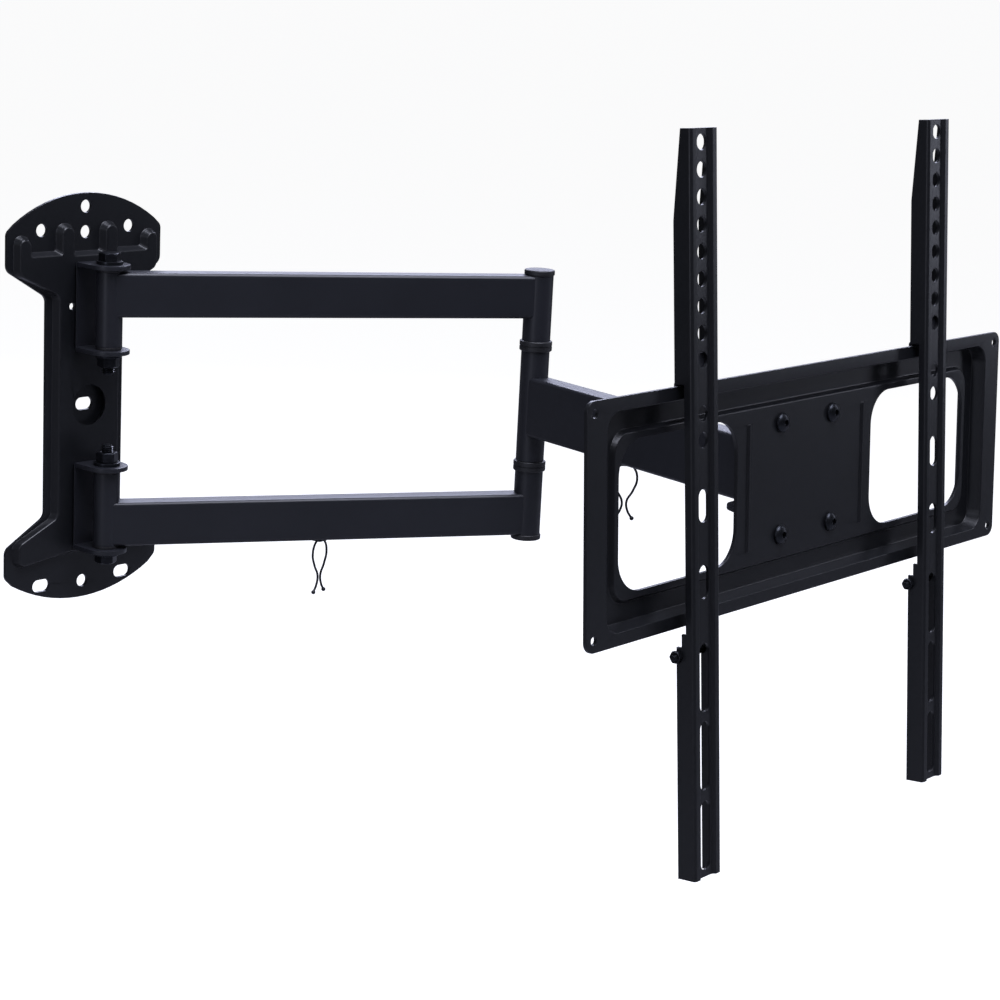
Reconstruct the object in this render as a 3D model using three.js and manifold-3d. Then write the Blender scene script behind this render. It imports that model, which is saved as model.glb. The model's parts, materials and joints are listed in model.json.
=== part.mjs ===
// Full motion wall mount for a flat screen: a stamped wall plate, a long two-tube arm, a short arm that
// folds between the long arm's tubes, a swivel and tilt head, a stamped carrier plate and two sliding rails.
// Millimetres, +Z up, +X right along the wall, -Y out from the wall. The origin is the middle of the wall
// plate's back face.
import * as THREE from 'three'
import { mergeVertices } from 'three/addons/utils/BufferGeometryUtils.js'
import Module from 'manifold-3d'

const wasm = await Module()
wasm.setup()

// ---- driving dimensions ----
const gap = 0.3 // between pieces that touch or are welded
const running = 0.3 // radial clearance of a turning fit
const roundSides = 24 // facets of a large round
const smallSides = 12 // facets of a small round

// wall plate
const plateSheet = 2.5
const panHeight = 8 // from the wall to the front of the raised pan
const lobeHalfWidth = 64
const lobeNear = 93.5 // height where a lobe's straight side starts
const lobeFar = 118.5 // height where a lobe's straight side ends
const neckHalfWidth = 32.3
const neckHalfHeight = 74.5
const topReach = 142.5
const bottomReach = 135.5
const rimWidth = 6
const outerFinger = 11 // width of the pan's outer fingers between the screw pockets
const outerFingerTop = 117 // height of the outer fingers' tips
const fingerNear = 12 // middle to the near side of an inner finger
const fingerFar = 24
const fingerTop = 122
const panBottom = 107 // depth of the pan's lower corners, below the middle
const panSlope = 3 // width of the pan's sloping edge
const pocketFloor = 104
const screwHoleRadius = 4.25
const screwSlotLength = 14
const topHoleInset = 9 // plate's top to the upper middle hole
const pocketHoleRise = 12.5 // pocket floor to the lower middle hole
const lobeHoleInset = 27.7 // lobe's side to its round hole
const lobeSlotInset = 29.4
const slotRise = 13.1 // plate's bottom to the slots
const bottomHoleRise = 11.5
const markerHole = { x: -15, z: 68, radius: 2.2 }
const dimpleRadius = 12 // at the wall
const dimpleFlare = 5.5 // how much wider it is at the pan's face
const dimpleWallSheet = 2

// pivots
const pivotOut = 28 // wall to wall pivot axis
const tabSheet = 3
const tabRadius = 14
const tabInner = 38 // height of the inner tabs' inner faces
const tabOuter = 98 // height of the outer tabs' outer faces
const pivotBoltRadius = 4
const hexFlats = 13
const headHeight = 5.5
const nutHeight = 6.8
const washerRadius = 9
const washerSheet = 1.6
const bushWall = 1.7
const bushFlange = 1.4
const bushLength = 12
const threadPast = 5 // thread that stands out of a nut

// long arm
const longArmLength = 301
const longArmAngle = -29.6
const longTubeWidth = 16.5
const longTubeHeight = 30
const longTubeTop = 93
const tubeWall = 1.6
const tubeCorner = 2.5
const longClipPlace = 149.5 // wall pivot to the cable clip
const longClipTurn = -51 // degrees, the clip turned on the arm
const knuckleRadius = 8.8
const postRadius = 10
const postWall = 1.8
const collarLip = 1.5 // collar's edge past the post
const collarHeight = 7
const collarRound = 0.8
const middlePostHalf = 39.5
const spindleRadius = 5
const spindleFlats = 14
const spindleHead = 5.5
const spindleNut = 6
const shelfHeight = 78 // height of the spindle head's seat
const shelfSheet = 4
const capLip = 0.7 // cap's edge past the post
const capHeight = 3.6
const capPlug = 3

// short arm
const shortArmLength = 230
const shortArmAngle = -100.5
const shortTubeWidth = 17
const shortTubeHeight = 42
const tubeOverhang = 11 // tube end past the swivel axis
const shortClipPlace = 106 // elbow to the cable clip
const shortClipTurn = -38
const swivelBushLength = 8

// swivel and tilt head
const screenTurn = 2.3 // degrees, head turned from the wall's direction
const earSheet = 3
const earRadius = 13
const webOut = 15 // swivel axis to the yoke's web
const yokeHalfWidth = 24
const tiltOut = 25 // swivel axis to tilt axis
const cheekRadius = 8
const cheekRootHalf = 14 // half height of a yoke cheek at the web
const tiltBoltRadius = 3
const tiltHexFlats = 10
const tiltHead = 4
const tiltNut = 5
const bracketBase = 8.7 // tilt axis to the tilt bracket's base
const bracketHalfWidth = 36
const bracketMargin = 5.75 // edge of the carrier's middle floor to the tilt bracket's edge
const bracketCheekRadius = 10
const bracketCheekDrop = 19 // bolt row to the root of a bracket cheek, clear of the nuts

// carrier plate
const carrierTilt = 3.8 // degrees, facing up
const carrierWidth = 460
const carrierHeight = 142.5
const carrierRise = 1.9 // plate's middle above the tilt axis
const carrierSheet = 2.5
const carrierCorner = 7
const grooveSideMargin = 16 // plate's side to groove
const grooveTopMargin = 5.5 // plate's top and bottom to groove
const grooveDepth = 9.5
const grooveWidth = 17.5
const grooveCorner = 14 // of the groove's outer edge
const floorCorner = 12 // of the middle floor's edge
const floorDepth = 6.5 // rim to the middle floor
const wallDraft = 2
const windowNear = 75.5 // plate's middle to a window
const windowSideMargin = 37.5 // window to the plate's side
const windowTopMargin = 27 // window to the plate's top and bottom
const windowCorner = 21
const beadPlace = 64
const beadHalfWidth = 2
const beadProud = 1.2
const beadMargin = 7 // edge of the middle floor to a bead's end
const plateBoltX = 28.5
const plateBoltRise = 1.6 // bolt rows above the plate's middle
const plateBoltMargin = 7.5 // tilt bracket's edge to a plate bolt
const plateBoltRadius = 3
const plateBoltHead = 6.2 // radius
const plateNut = 4.6
const cornerHoleInset = 7.2
const cornerHoleRadius = 2.6

// rails
const railLean = 1.4 // degrees, more than the carrier plate
const railPlaces = { left: -134.3, right: 126.4 }
const railTop = 217.5
const railBottom = -222.5
const railWidth = 26.4
const railDepth = 12.8
const railSheet = 2
const channelHalfWidth = 7
const channelDepth = 2
const channelDraft = 0.7
const railTaper = 52
const notchDepth = 6 // depth left where the rail crosses the carrier plate
const stepDepth = 9 // depth left just below the carrier plate
const stepLength = 8
const railHoleRadius = 4.6
const railHoleTop = 209.6
const railHolePitch = 15.45
const railHoles = [0, 1, 2, 3, 4, 5, 6, 7, 8, 10, 11]
const railSlots = [[11.2, -8.5], [-33.7, -53.6], [-80, -121.4], [-127.1, -168.9], [-175.3, -217.7]]
const lockHeight = -87
const lockRadius = 2
const lockFlats = 7
const lockHead = 2.8
const lockNut = 3.2
const lockOut = 1 - lockRadius // the lock screw's axis, just behind the rim's front
const hookSheet = 2
const hookRise = 18 // how far the hook reaches up the rail
const hookDrop = 4.5 // how far it reaches down behind the rim
const hookClearance = 0.6

// cable clips
const wireRadius = 0.8
const clipDrop = 40
const clipBulge = 8
const clipPinch = 1.6
const clipRoot = 2.2 // middle to where a wire leaves the base
const clipEnd = 5.8
const ballRadius = 1.5

// ---- materials ----
const paint = { color: 0x222428, roughness: 0.5, metalness: 0.3 }
const satin = { color: 0x1b1c1f, roughness: 0.45, metalness: 0.3 }
const blackOxide = { color: 0x17181a, roughness: 0.3, metalness: 0.9 }
const nylon = { color: 0x151517, roughness: 0.55, metalness: 0 }
const springWire = { color: 0x202124, roughness: 0.35, metalness: 0.8 }

// ---- solids ----
function solid(geometry) {
  geometry.deleteAttribute('normal')
  geometry.deleteAttribute('uv')
  const merged = mergeVertices(geometry)
  const vertProperties = new Float32Array(merged.attributes.position.array)
  const triVerts = new Uint32Array(merged.index.array)
  return new wasm.Manifold(new wasm.Mesh({ numProp: 3, vertProperties, triVerts }))
}

function geometryOf(body) {
  const mesh = body.getMesh()
  const geometry = new THREE.BufferGeometry()
  geometry.setAttribute('position', new THREE.BufferAttribute(new Float32Array(mesh.vertProperties), 3))
  geometry.setIndex(new THREE.BufferAttribute(new Uint32Array(mesh.triVerts), 1))
  return geometry
}

function node(name, body, finish) {
  const geometry = body instanceof THREE.BufferGeometry ? body : geometryOf(body)
  geometry.computeVertexNormals()
  const mesh = new THREE.Mesh(geometry, new THREE.MeshStandardMaterial(finish))
  mesh.name = name
  return mesh
}

function cut(body, tools) {
  return tools.reduce((rest, tool) => rest.subtract(tool), body)
}

function join(bodies) {
  return bodies.reduce((all, body) => all.add(body))
}

// a shape from corners [x, y, radius], with each corner rounded
function rounded(corners, steps = 4) {
  const points = []
  corners.forEach(([x, y, radius = 0], i) => {
    const here = new THREE.Vector2(x, y)
    if (radius === 0) {
      points.push(here)
      return
    }
    const before = corners[(i + corners.length - 1) % corners.length]
    const after = corners[(i + 1) % corners.length]
    const toBefore = new THREE.Vector2(before[0] - x, before[1] - y).normalize()
    const toAfter = new THREE.Vector2(after[0] - x, after[1] - y).normalize()
    const half = toBefore.angleTo(toAfter) / 2
    const reach = radius / Math.tan(half)
    const centre = toBefore.clone().add(toAfter).normalize().multiplyScalar(radius / Math.sin(half)).add(here)
    const start = toBefore.multiplyScalar(reach).add(here).sub(centre)
    const end = toAfter.multiplyScalar(reach).add(here).sub(centre)
    const turn = Math.atan2(start.cross(end), start.dot(end))
    for (let k = 0; k <= steps; k += 1) {
      points.push(start.clone().rotateAround(new THREE.Vector2(), (turn * k) / steps).add(centre))
    }
  })
  return points
}

function box(halfX, halfY, radius, steps = 4) {
  return rounded([[-halfX, -halfY, radius], [halfX, -halfY, radius], [halfX, halfY, radius],
    [-halfX, halfY, radius]], steps)
}

function circle(radius, sides = smallSides, x = 0, y = 0) {
  return Array.from({ length: sides }, (_, k) => {
    const turn = (2 * Math.PI * (k + 0.5)) / sides
    return new THREE.Vector2(x + radius * Math.cos(turn), y + radius * Math.sin(turn))
  })
}

function extrude(points, depth, holes = []) {
  const shape = new THREE.Shape(points)
  shape.holes = holes.map((hole) => new THREE.Path(hole))
  return new THREE.ExtrudeGeometry(shape, { depth, bevelEnabled: false })
}

// a flat piece of outline (x, z), its back at out and its front at out + thickness from the wall side
function standing(points, out, thickness, holes = []) {
  return solid(extrude(points, thickness, holes).rotateX(Math.PI / 2).translate(0, -out, 0))
}

// a flat piece of outline (x, y), from height low to height high
function lying(points, low, high, holes = []) {
  return solid(extrude(points, high - low, holes).translate(0, 0, low))
}

// a flat piece of outline (y, z), from x left to x right
function sideways(points, left, right, holes = []) {
  const geometry = extrude(points, right - left, holes)
  const turned = new THREE.Matrix4().set(0, 0, 1, left, 1, 0, 0, 0, 0, 1, 0, 0, 0, 0, 0, 1)
  return solid(geometry.applyMatrix4(turned))
}

// a standing piece whose outline changes from back to front
function drafted(backPoints, frontPoints, out, thickness) {
  const count = backPoints.length
  const positions = []
  backPoints.forEach((p) => positions.push(p.x, -out, p.y))
  frontPoints.forEach((p) => positions.push(p.x, -out - thickness, p.y))
  const index = []
  for (let k = 0; k < count; k += 1) {
    const next = (k + 1) % count
    index.push(k, next, count + k, next, count + next, count + k)
  }
  THREE.ShapeUtils.triangulateShape(backPoints, []).forEach(([a, b, c]) => {
    index.push(a, c, b, count + a, count + b, count + c)
  })
  const geometry = new THREE.BufferGeometry()
  geometry.setAttribute('position', new THREE.Float32BufferAttribute(positions, 3))
  geometry.setIndex(index)
  return solid(geometry)
}

function upright(radius, low, high, sides = roundSides) {
  return lying(circle(radius, sides), low, high)
}

// a round piece about +Z from [radius, height] corners that close on themselves
function turned(profile, sides = roundSides) {
  const points = profile.concat([profile[0]]).map(([r, z]) => new THREE.Vector2(r, z))
  const lathe = new THREE.LatheGeometry(points, sides, Math.PI / sides)
  const body = solid(lathe.rotateX(Math.PI / 2))
  return body.volume() < 0 ? solid(geometryOf(body).scale(-1, 1, 1)) : body
}

function hexagon(flats) {
  return circle(flats / 2 / Math.cos(Math.PI / 6), 6)
}

function ring(inner, outer, low, high, sides = roundSides) {
  return lying(circle(outer, sides), low, high, [circle(inner, sides)])
}

function boltUp(radius, flats, head, length) {
  const shank = upright(radius, -length, 0.5, smallSides)
  return join([lying(hexagon(flats), 0, head), shank])
}

function nutUp(radius, flats, height) {
  return lying(hexagon(flats), -height, 0, [circle(radius + 0.2, smallSides)])
}

function place(mesh, x, y, z, turn = [0, 0, 0]) {
  mesh.position.set(x, y, z)
  mesh.rotation.set(...turn)
  return mesh
}

function group(position, turnZ, children) {
  const made = new THREE.Group()
  made.position.set(...position)
  made.rotation.z = THREE.MathUtils.degToRad(turnZ)
  made.add(...children)
  return made
}

// ---- wall plate ----
function plateOutline() {
  const shoulder = 3
  const arcTop = arcPoints(lobeHalfWidth - shoulder, lobeFar + shoulder, topReach)
  const arcBottom = arcPoints(lobeHalfWidth - shoulder, lobeFar - 1, bottomReach)
  const right = [
    ...arcBottom.map(([x, z]) => [x, -z, 0]),
    [lobeHalfWidth, -(lobeFar - 5), 5],
    [lobeHalfWidth, -lobeNear, 6],
    [neckHalfWidth, -neckHalfHeight, 6],
    [neckHalfWidth, neckHalfHeight, 6],
    [lobeHalfWidth, lobeNear, 6],
    [lobeHalfWidth, lobeFar, 5],
    ...arcTop.reverse().map(([x, z]) => [x, z, 0]),
  ]
  return rounded(mirrored(right))
}

// points from the middle of an arc of half width x and height z up to its top at reach, right half only
function arcPoints(x, z, reach) {
  const rise = reach - z
  const radius = (x * x + rise * rise) / (2 * rise)
  const whole = Math.asin(x / radius)
  const steps = 7
  return Array.from({ length: steps }, (_, k) => {
    const turn = (whole * (k + 0.5)) / steps
    return [radius * Math.sin(turn), reach - radius * (1 - Math.cos(turn))]
  })
}

function mirrored(right) {
  return right.concat(right.map(([x, z, r]) => [-x, z, r]).reverse())
}

// the raised pan at one height, inset from its middle line
function panOutline(inset) {
  const side = lobeHalfWidth - rimWidth - inset
  const neck = neckHalfWidth - rimWidth - inset
  const floor = pocketFloor - inset
  const tip = Math.max(0.6, 3 - inset)
  const outerNear = side - outerFinger + 2 * inset
  const right = [
    [18, inset - panBottom + 5, 15],
    [side, inset - panBottom, 6 - inset],
    [side, -(lobeNear - 3), 5],
    [neck, -neckHalfHeight - 1, 6],
    [neck, neckHalfHeight + 1, 6],
    [side, lobeNear - 3, 5],
    [side, outerFingerTop - inset, tip],
    [outerNear, outerFingerTop - 3 - inset, tip],
    [outerNear, floor, 2],
    [fingerFar - inset, floor, 2],
    [fingerFar - inset, fingerTop - inset, tip],
    [fingerNear + inset, fingerTop - inset, tip],
    [fingerNear + inset, floor - 1, 2],
  ]
  return rounded(mirrored(right), 3)
}

function slotOutline(x, z, length, radius) {
  const half = length / 2 - radius
  return box(half + radius, radius, radius - 0.01, 6).map((p) => new THREE.Vector2(p.x + x, p.y + z))
}

function wallPlate() {
  const through = panHeight + 2
  const rim = standing(plateOutline(), 0, plateSheet)
  const slope = panSlope / 2
  const pan = drafted(panOutline(-slope), panOutline(slope), 1, panHeight - 1)
  const sheet = plateSheet * 0.8
  const hollow = drafted(panOutline(sheet - slope), panOutline(sheet + slope), -1, panHeight - plateSheet + 1)
  const flared = dimpleRadius + dimpleFlare
  const dimple = drafted(circle(dimpleRadius, roundSides), circle(flared, roundSides), plateSheet, panHeight)
  const dimpleWall = drafted(circle(dimpleRadius + dimpleWallSheet, roundSides),
    circle(flared + dimpleWallSheet, roundSides), 0, panHeight - 0.5)
  const lobeHole = lobeHalfWidth - lobeHoleInset
  const lobeSlot = lobeHalfWidth - lobeSlotInset
  const holePlaces = [
    [0, topReach - topHoleInset],
    [-lobeHole, lobeFar + 0.5],
    [lobeHole, lobeFar + 0.5],
    [0, pocketFloor + pocketHoleRise],
    [0, bottomHoleRise - bottomReach],
  ]
  const slotPlaces = [[0, 0], [-lobeSlot, slotRise - bottomReach], [lobeSlot, slotRise - bottomReach]]
  const holes = holePlaces.map(([x, z]) => standing(circle(screwHoleRadius, smallSides, x, z), -1, through))
  const slots = slotPlaces
    .map(([x, z]) => standing(slotOutline(x, z, screwSlotLength, screwHoleRadius), -1, through))
  const marker = standing(circle(markerHole.radius, 8, markerHole.x, markerHole.z), -1, through)
  return cut(join([cut(join([rim, pan]), [hollow]), dimpleWall]), [dimple, ...holes, ...slots, marker])
}

// ---- wall pivots ----
function tabOutline() {
  const back = -(panHeight + gap)
  const arc = Array.from({ length: 13 }, (_, k) => {
    const turn = -Math.PI * (k / 12)
    return new THREE.Vector2(tabRadius * Math.cos(turn), -pivotOut + tabRadius * Math.sin(turn))
  })
  return [new THREE.Vector2(-tabRadius, back), new THREE.Vector2(tabRadius, back), ...arc].reverse()
}

function pivotBracket() {
  const hole = [circle(pivotBoltRadius + running, smallSides, 0, -pivotOut)]
  const outer = lying(tabOutline(), tabOuter - tabSheet, tabOuter, hole)
  const inner = lying(tabOutline(), tabInner, tabInner + tabSheet, hole)
  const halfHeight = (tabOuter - tabInner) / 2
  const back = box(tabRadius, halfHeight, 1).map((p) => new THREE.Vector2(p.x, p.y + tabInner + halfHeight))
  const web = standing(back, panHeight + gap, tabSheet)
  return join([outer, inner, web])
}

function bush(bore, outer, flangeRadius, length) {
  return turned([[bore, -length], [outer, -length], [outer, 0], [flangeRadius, 0],
    [flangeRadius, bushFlange], [bore, bushFlange]])
}

function wallPivot(side, up) {
  const flip = up ? [0, 0, 0] : [Math.PI, 0, 0]
  const sign = up ? 1 : -1
  const boltSeat = tabOuter + washerSheet + 2 * gap
  const nutSeat = tabInner - washerSheet - 2 * gap
  const washer = () => ring(pivotBoltRadius + gap, washerRadius, 0, washerSheet)
  const length = boltSeat - nutSeat + nutHeight + threadPast
  return [
    place(node(`${side}_pivot_bolt`, boltUp(pivotBoltRadius, hexFlats, headHeight, length), blackOxide),
      0, -pivotOut, sign * boltSeat, flip),
    place(node(`${side}_pivot_nut`, nutUp(pivotBoltRadius, hexFlats, nutHeight), blackOxide),
      0, -pivotOut, sign * nutSeat, flip),
    place(node(`${side}_pivot_head_washer`, washer(), blackOxide),
      0, -pivotOut, sign * (tabOuter + gap), flip),
    place(node(`${side}_pivot_nut_washer`, washer(), blackOxide),
      0, -pivotOut, sign * (nutSeat + gap), flip),
  ]
}

// ---- arms ----
// a square tube along +X from 0 to length, coped to a round post at each end
function armTube(width, height, length, startRadius, endRadius, overhang = 0) {
  const outer = box(height / 2, width / 2, tubeCorner, 3)
  const inner = box(height / 2 - tubeWall, width / 2 - tubeWall, tubeCorner - tubeWall + 0.4, 3)
  const tube = solid(extrude(outer, length + overhang, [inner]).rotateY(Math.PI / 2))
  const start = upright(startRadius + gap, -height, height)
  if (!endRadius) return cut(tube, [start])
  const end = upright(endRadius + gap, -height, height).translate(length, 0, 0)
  return cut(tube, [start, end])
}

function cableClip() {
  const wires = [-1, 1].map((side) => {
    const route = [
      [clipRoot, 0.03],
      [clipBulge - 3, 0.06],
      [clipBulge, 0.28],
      [clipBulge - 2.6, 0.5],
      [clipPinch, 0.7],
      [clipPinch + 1, 0.86],
      [clipEnd, 1],
    ]
    const hang = clipDrop - 2
    const points = route.map(([x, share]) => new THREE.Vector3(0, side * x, -share * hang))
    const path = new THREE.CatmullRomCurve3(points)
    const section = new THREE.Shape(circle(wireRadius, 6))
    const settings = { steps: 14, extrudePath: path, bevelEnabled: false }
    const wire = solid(new THREE.ExtrudeGeometry(section, settings))
    const end = new THREE.SphereGeometry(ballRadius, 8, 6)
    const ball = solid(end.translate(0, side * clipEnd, ballRadius - clipDrop))
    return wire.add(ball)
  })
  const base = lying(box(4, 5.5, 1.5, 2), -1.4, 0)
  return join([base, ...wires])
}

function knucklePieces(side, sign) {
  const low = tabInner + tabSheet + gap + bushFlange + gap
  const high = tabOuter - tabSheet - gap - bushFlange - gap
  const bore = pivotBoltRadius + running + bushWall + gap
  const sleeve = () => bush(pivotBoltRadius + running, bore - gap, knuckleRadius, bushLength)
  const flip = [Math.PI, 0, 0]
  const outer = place(node(`${side}_knuckle_outer_bush`, sleeve(), nylon),
    0, 0, sign * (high + gap), sign > 0 ? [0, 0, 0] : flip)
  const inner = place(node(`${side}_knuckle_inner_bush`, sleeve(), nylon),
    0, 0, sign * (low - gap), sign > 0 ? flip : [0, 0, 0])
  const [bottom, top] = sign > 0 ? [low, high] : [-high, -low]
  const knuckle = ring(bore, knuckleRadius, bottom, top)
  return [node(`${side}_wall_knuckle`, knuckle, paint), outer, inner]
}

function elbowPost(sign) {
  const inner = postRadius - postWall
  const seat = shelfHeight + shelfSheet
  const end = middlePostHalf + collarHeight + gap
  const profile = [
    [inner, end],
    [postRadius, end],
    [postRadius, longTubeTop],
    [inner, longTubeTop],
    [inner, seat],
    [spindleRadius + gap, seat],
    [spindleRadius + gap, shelfHeight],
    [inner, shelfHeight],
  ]
  return turned(profile.map(([r, z]) => [r, sign * z]))
}

function elbowCap() {
  const edge = postRadius + capLip
  const profile = [[0, 0], [edge, 0], [edge, capHeight - 1], [edge - 1, capHeight], [0, capHeight]]
  return join([turned(profile), upright(postRadius - postWall - gap, -capPlug, 0.5)])
}

function elbowCollar() {
  const bore = spindleRadius + running
  const sleeve = postRadius - postWall - gap
  const edge = postRadius + collarLip
  return turned([
    [bore, -bushLength],
    [sleeve, -bushLength],
    [sleeve, gap],
    [edge - collarRound, gap],
    [edge, gap + collarRound],
    [edge, collarHeight - collarRound],
    [edge - collarRound, collarHeight],
    [bore, collarHeight],
  ])
}

function longArm(children) {
  const tubeMiddle = longTubeTop - longTubeHeight / 2
  const pieces = []
  for (const [side, sign] of [['upper', 1], ['lower', -1]]) {
    const tube = armTube(longTubeWidth, longTubeHeight, longArmLength, knuckleRadius, postRadius)
    pieces.push(place(node(`${side}_arm_tube`, tube, paint), 0, 0, sign * tubeMiddle))
    pieces.push(...knucklePieces(side, sign))
    pieces.push(place(node(`${side}_elbow_post`, elbowPost(sign), paint), longArmLength, 0, 0))
    pieces.push(place(node(`${side}_elbow_cap`, elbowCap(), nylon),
      longArmLength, 0, sign * (longTubeTop + gap), sign > 0 ? [0, 0, 0] : [Math.PI, 0, 0]))
  }
  const seat = shelfHeight + shelfSheet + gap
  const spindle = boltUp(spindleRadius, spindleFlats, spindleHead, 2 * seat + spindleNut + 1)
  pieces.push(place(node('elbow_spindle', spindle, blackOxide), longArmLength, 0, seat))
  const nut = nutUp(spindleRadius, spindleFlats, spindleNut)
  pieces.push(place(node('elbow_spindle_nut', nut, blackOxide), longArmLength, 0, -seat))
  pieces.push(place(node('long_arm_cable_clip', cableClip(), springWire),
    longClipPlace, 0, -longTubeTop - gap, [0, 0, THREE.MathUtils.degToRad(longClipTurn)]))
  return group([0, -pivotOut, 0], longArmAngle, [...pieces, ...children])
}

function shortArm(children) {
  const bore = postRadius - postWall
  const post = ring(bore, postRadius, -middlePostHalf, middlePostHalf)
  const whole = armTube(shortTubeWidth, shortTubeHeight, shortArmLength, postRadius, 0, tubeOverhang)
  const sleeve = pivotBoltRadius + running + bushWall
  const bores = upright(sleeve + gap, -shortTubeHeight, shortTubeHeight).translate(shortArmLength, 0, 0)
  const pieces = [
    node('elbow_middle_post', post, paint),
    node('short_arm_tube', cut(whole, [bores]), paint),
    place(node('elbow_upper_collar', elbowCollar(), nylon), 0, 0, middlePostHalf),
    place(node('elbow_lower_collar', elbowCollar(), nylon), 0, 0, -middlePostHalf, [Math.PI, 0, 0]),
    place(node('short_arm_cable_clip', cableClip(), springWire),
      shortClipPlace, 0, -shortTubeHeight / 2 - gap, [0, 0, THREE.MathUtils.degToRad(shortClipTurn)]),
  ]
  for (const [side, turn, sign] of [['upper', [0, 0, 0], 1], ['lower', [Math.PI, 0, 0], -1]]) {
    const made = bush(pivotBoltRadius + running, sleeve, shortTubeWidth / 2 + 1, swivelBushLength)
    pieces.push(place(node(`swivel_${side}_bush`, made, nylon),
      shortArmLength, 0, sign * (shortTubeHeight / 2 + gap), turn))
  }
  return group([longArmLength, 0, 0], shortArmAngle - longArmAngle, [...pieces, ...children])
}

// ---- swivel and tilt head ----
const earInner = shortTubeHeight / 2 + gap + bushFlange + gap
const earOuter = earInner + earSheet

function swivelYoke() {
  const arc = Array.from({ length: 13 }, (_, k) => {
    const turn = Math.PI * (k / 12)
    return new THREE.Vector2(earRadius * Math.cos(turn), earRadius * Math.sin(turn))
  })
  const front = -(webOut + earSheet)
  const corners = [
    [-yokeHalfWidth, -webOut + 3],
    [-yokeHalfWidth, front],
    [yokeHalfWidth, front],
    [yokeHalfWidth, -webOut + 3],
  ]
  const outline = [...arc, ...corners.map(([x, y]) => new THREE.Vector2(x, y))]
  const hole = [circle(pivotBoltRadius + running)]
  const ears = [lying(outline, earInner, earOuter, hole), lying(outline, -earOuter, -earInner, hole)]
  const web = standing(box(yokeHalfWidth, earOuter, 0), webOut, earSheet)
  const side = cheekOutline(cheekRadius, cheekRootHalf, webOut + 0.5)
  const pin = [circle(tiltBoltRadius + gap, smallSides, -tiltOut, 0)]
  const cheeks = [sideways(side, yokeHalfWidth - earSheet, yokeHalfWidth, pin),
    sideways(side, -yokeHalfWidth, earSheet - yokeHalfWidth, pin)]
  return join([...ears, web, ...cheeks])
}

// a cheek in (y, z): wide at its root, with a round end about the tilt axis
function cheekOutline(radius, rootHalf, rootOut) {
  const arc = Array.from({ length: 11 }, (_, k) => {
    const turn = Math.PI / 2 + Math.PI * (k / 10)
    const away = rootOut < tiltOut ? 1 : -1
    return new THREE.Vector2(-tiltOut + away * radius * Math.cos(turn), away * radius * Math.sin(turn))
  })
  const root = rootOut < tiltOut ? [[-rootOut, -rootHalf], [-rootOut, rootHalf]]
    : [[-rootOut, rootHalf], [-rootOut, -rootHalf]]
  return [...arc, ...root.map(([y, z]) => new THREE.Vector2(y, z))]
}

function swivelHead(children) {
  const washer = () => ring(pivotBoltRadius + gap, washerRadius, 0, washerSheet)
  const seat = earOuter + washerSheet + 2 * gap
  const flip = [Math.PI, 0, 0]
  const bolt = boltUp(pivotBoltRadius, hexFlats, headHeight, 2 * seat + nutHeight + threadPast - 2)
  const pieces = [
    node('swivel_yoke', swivelYoke(), paint),
    place(node('swivel_bolt', bolt, blackOxide), 0, 0, seat),
    place(node('swivel_nut', nutUp(pivotBoltRadius, hexFlats, nutHeight), blackOxide), 0, 0, -seat),
    place(node('swivel_upper_washer', washer(), blackOxide), 0, 0, earOuter + gap),
    place(node('swivel_lower_washer', washer(), blackOxide), 0, 0, -earOuter - gap, flip),
  ]
  const headPlace = yokeHalfWidth + 2 * gap + earSheet + gap
  const nutPlace = yokeHalfWidth - earSheet - gap
  for (const [side, sign] of [['left', -1], ['right', 1]]) {
    const turn = [0, sign * Math.PI / 2, 0]
    const length = headPlace - nutPlace + tiltNut + 2
    const tiltBolt = boltUp(tiltBoltRadius, tiltHexFlats, tiltHead, length)
    pieces.push(place(node(`${side}_tilt_bolt`, tiltBolt, blackOxide), sign * headPlace, -tiltOut, 0, turn))
    pieces.push(place(node(`${side}_tilt_nut`, nutUp(tiltBoltRadius, tiltHexFlats, tiltNut), blackOxide),
      sign * nutPlace, -tiltOut, 0, turn))
  }
  return group([shortArmLength, 0, 0], screenTurn - shortArmAngle, [...pieces, ...children])
}

// The tilt bracket and carrier plate are drawn from the tilt axis: out is measured from it.
const floorHalfHeight = carrierHeight / 2 - grooveTopMargin - grooveWidth
const bracketHalfHeight = floorHalfHeight - bracketMargin
const plateBoltZ = bracketHalfHeight - plateBoltMargin
const bracketCheekRootHalf = plateBoltZ - bracketCheekDrop

function tiltBracket() {
  const holes = boltPlaces().map(([x, z]) => circle(plateBoltRadius + gap, smallSides, x, z + carrierRise))
  const outer = box(bracketHalfWidth, bracketHalfHeight, 4)
    .map((p) => new THREE.Vector2(p.x, p.y + carrierRise))
  const base = standing(outer, bracketBase, earSheet, holes)
  const inner = yokeHalfWidth + 2 * gap
  const outline = cheekOutline(bracketCheekRadius, bracketCheekRootHalf, tiltOut + bracketBase + 0.5)
    .map((p) => new THREE.Vector2(p.x + tiltOut, p.y))
  const pin = [circle(tiltBoltRadius + gap, smallSides)]
  const cheeks = [
    sideways(outline, inner, inner + earSheet, pin),
    sideways(outline, -inner - earSheet, -inner, pin),
  ]
  return join([base, ...cheeks])
}

function boltPlaces() {
  const high = plateBoltRise + plateBoltZ
  const low = plateBoltRise - plateBoltZ
  return [[-plateBoltX, high], [plateBoltX, high], [-plateBoltX, low], [plateBoltX, low]]
}

// ---- carrier plate ----
const floorBack = bracketBase + earSheet + gap // tilt axis to the back of the middle floor
const rimFront = floorBack + carrierSheet + floorDepth // tilt axis to the front of the rim

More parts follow.
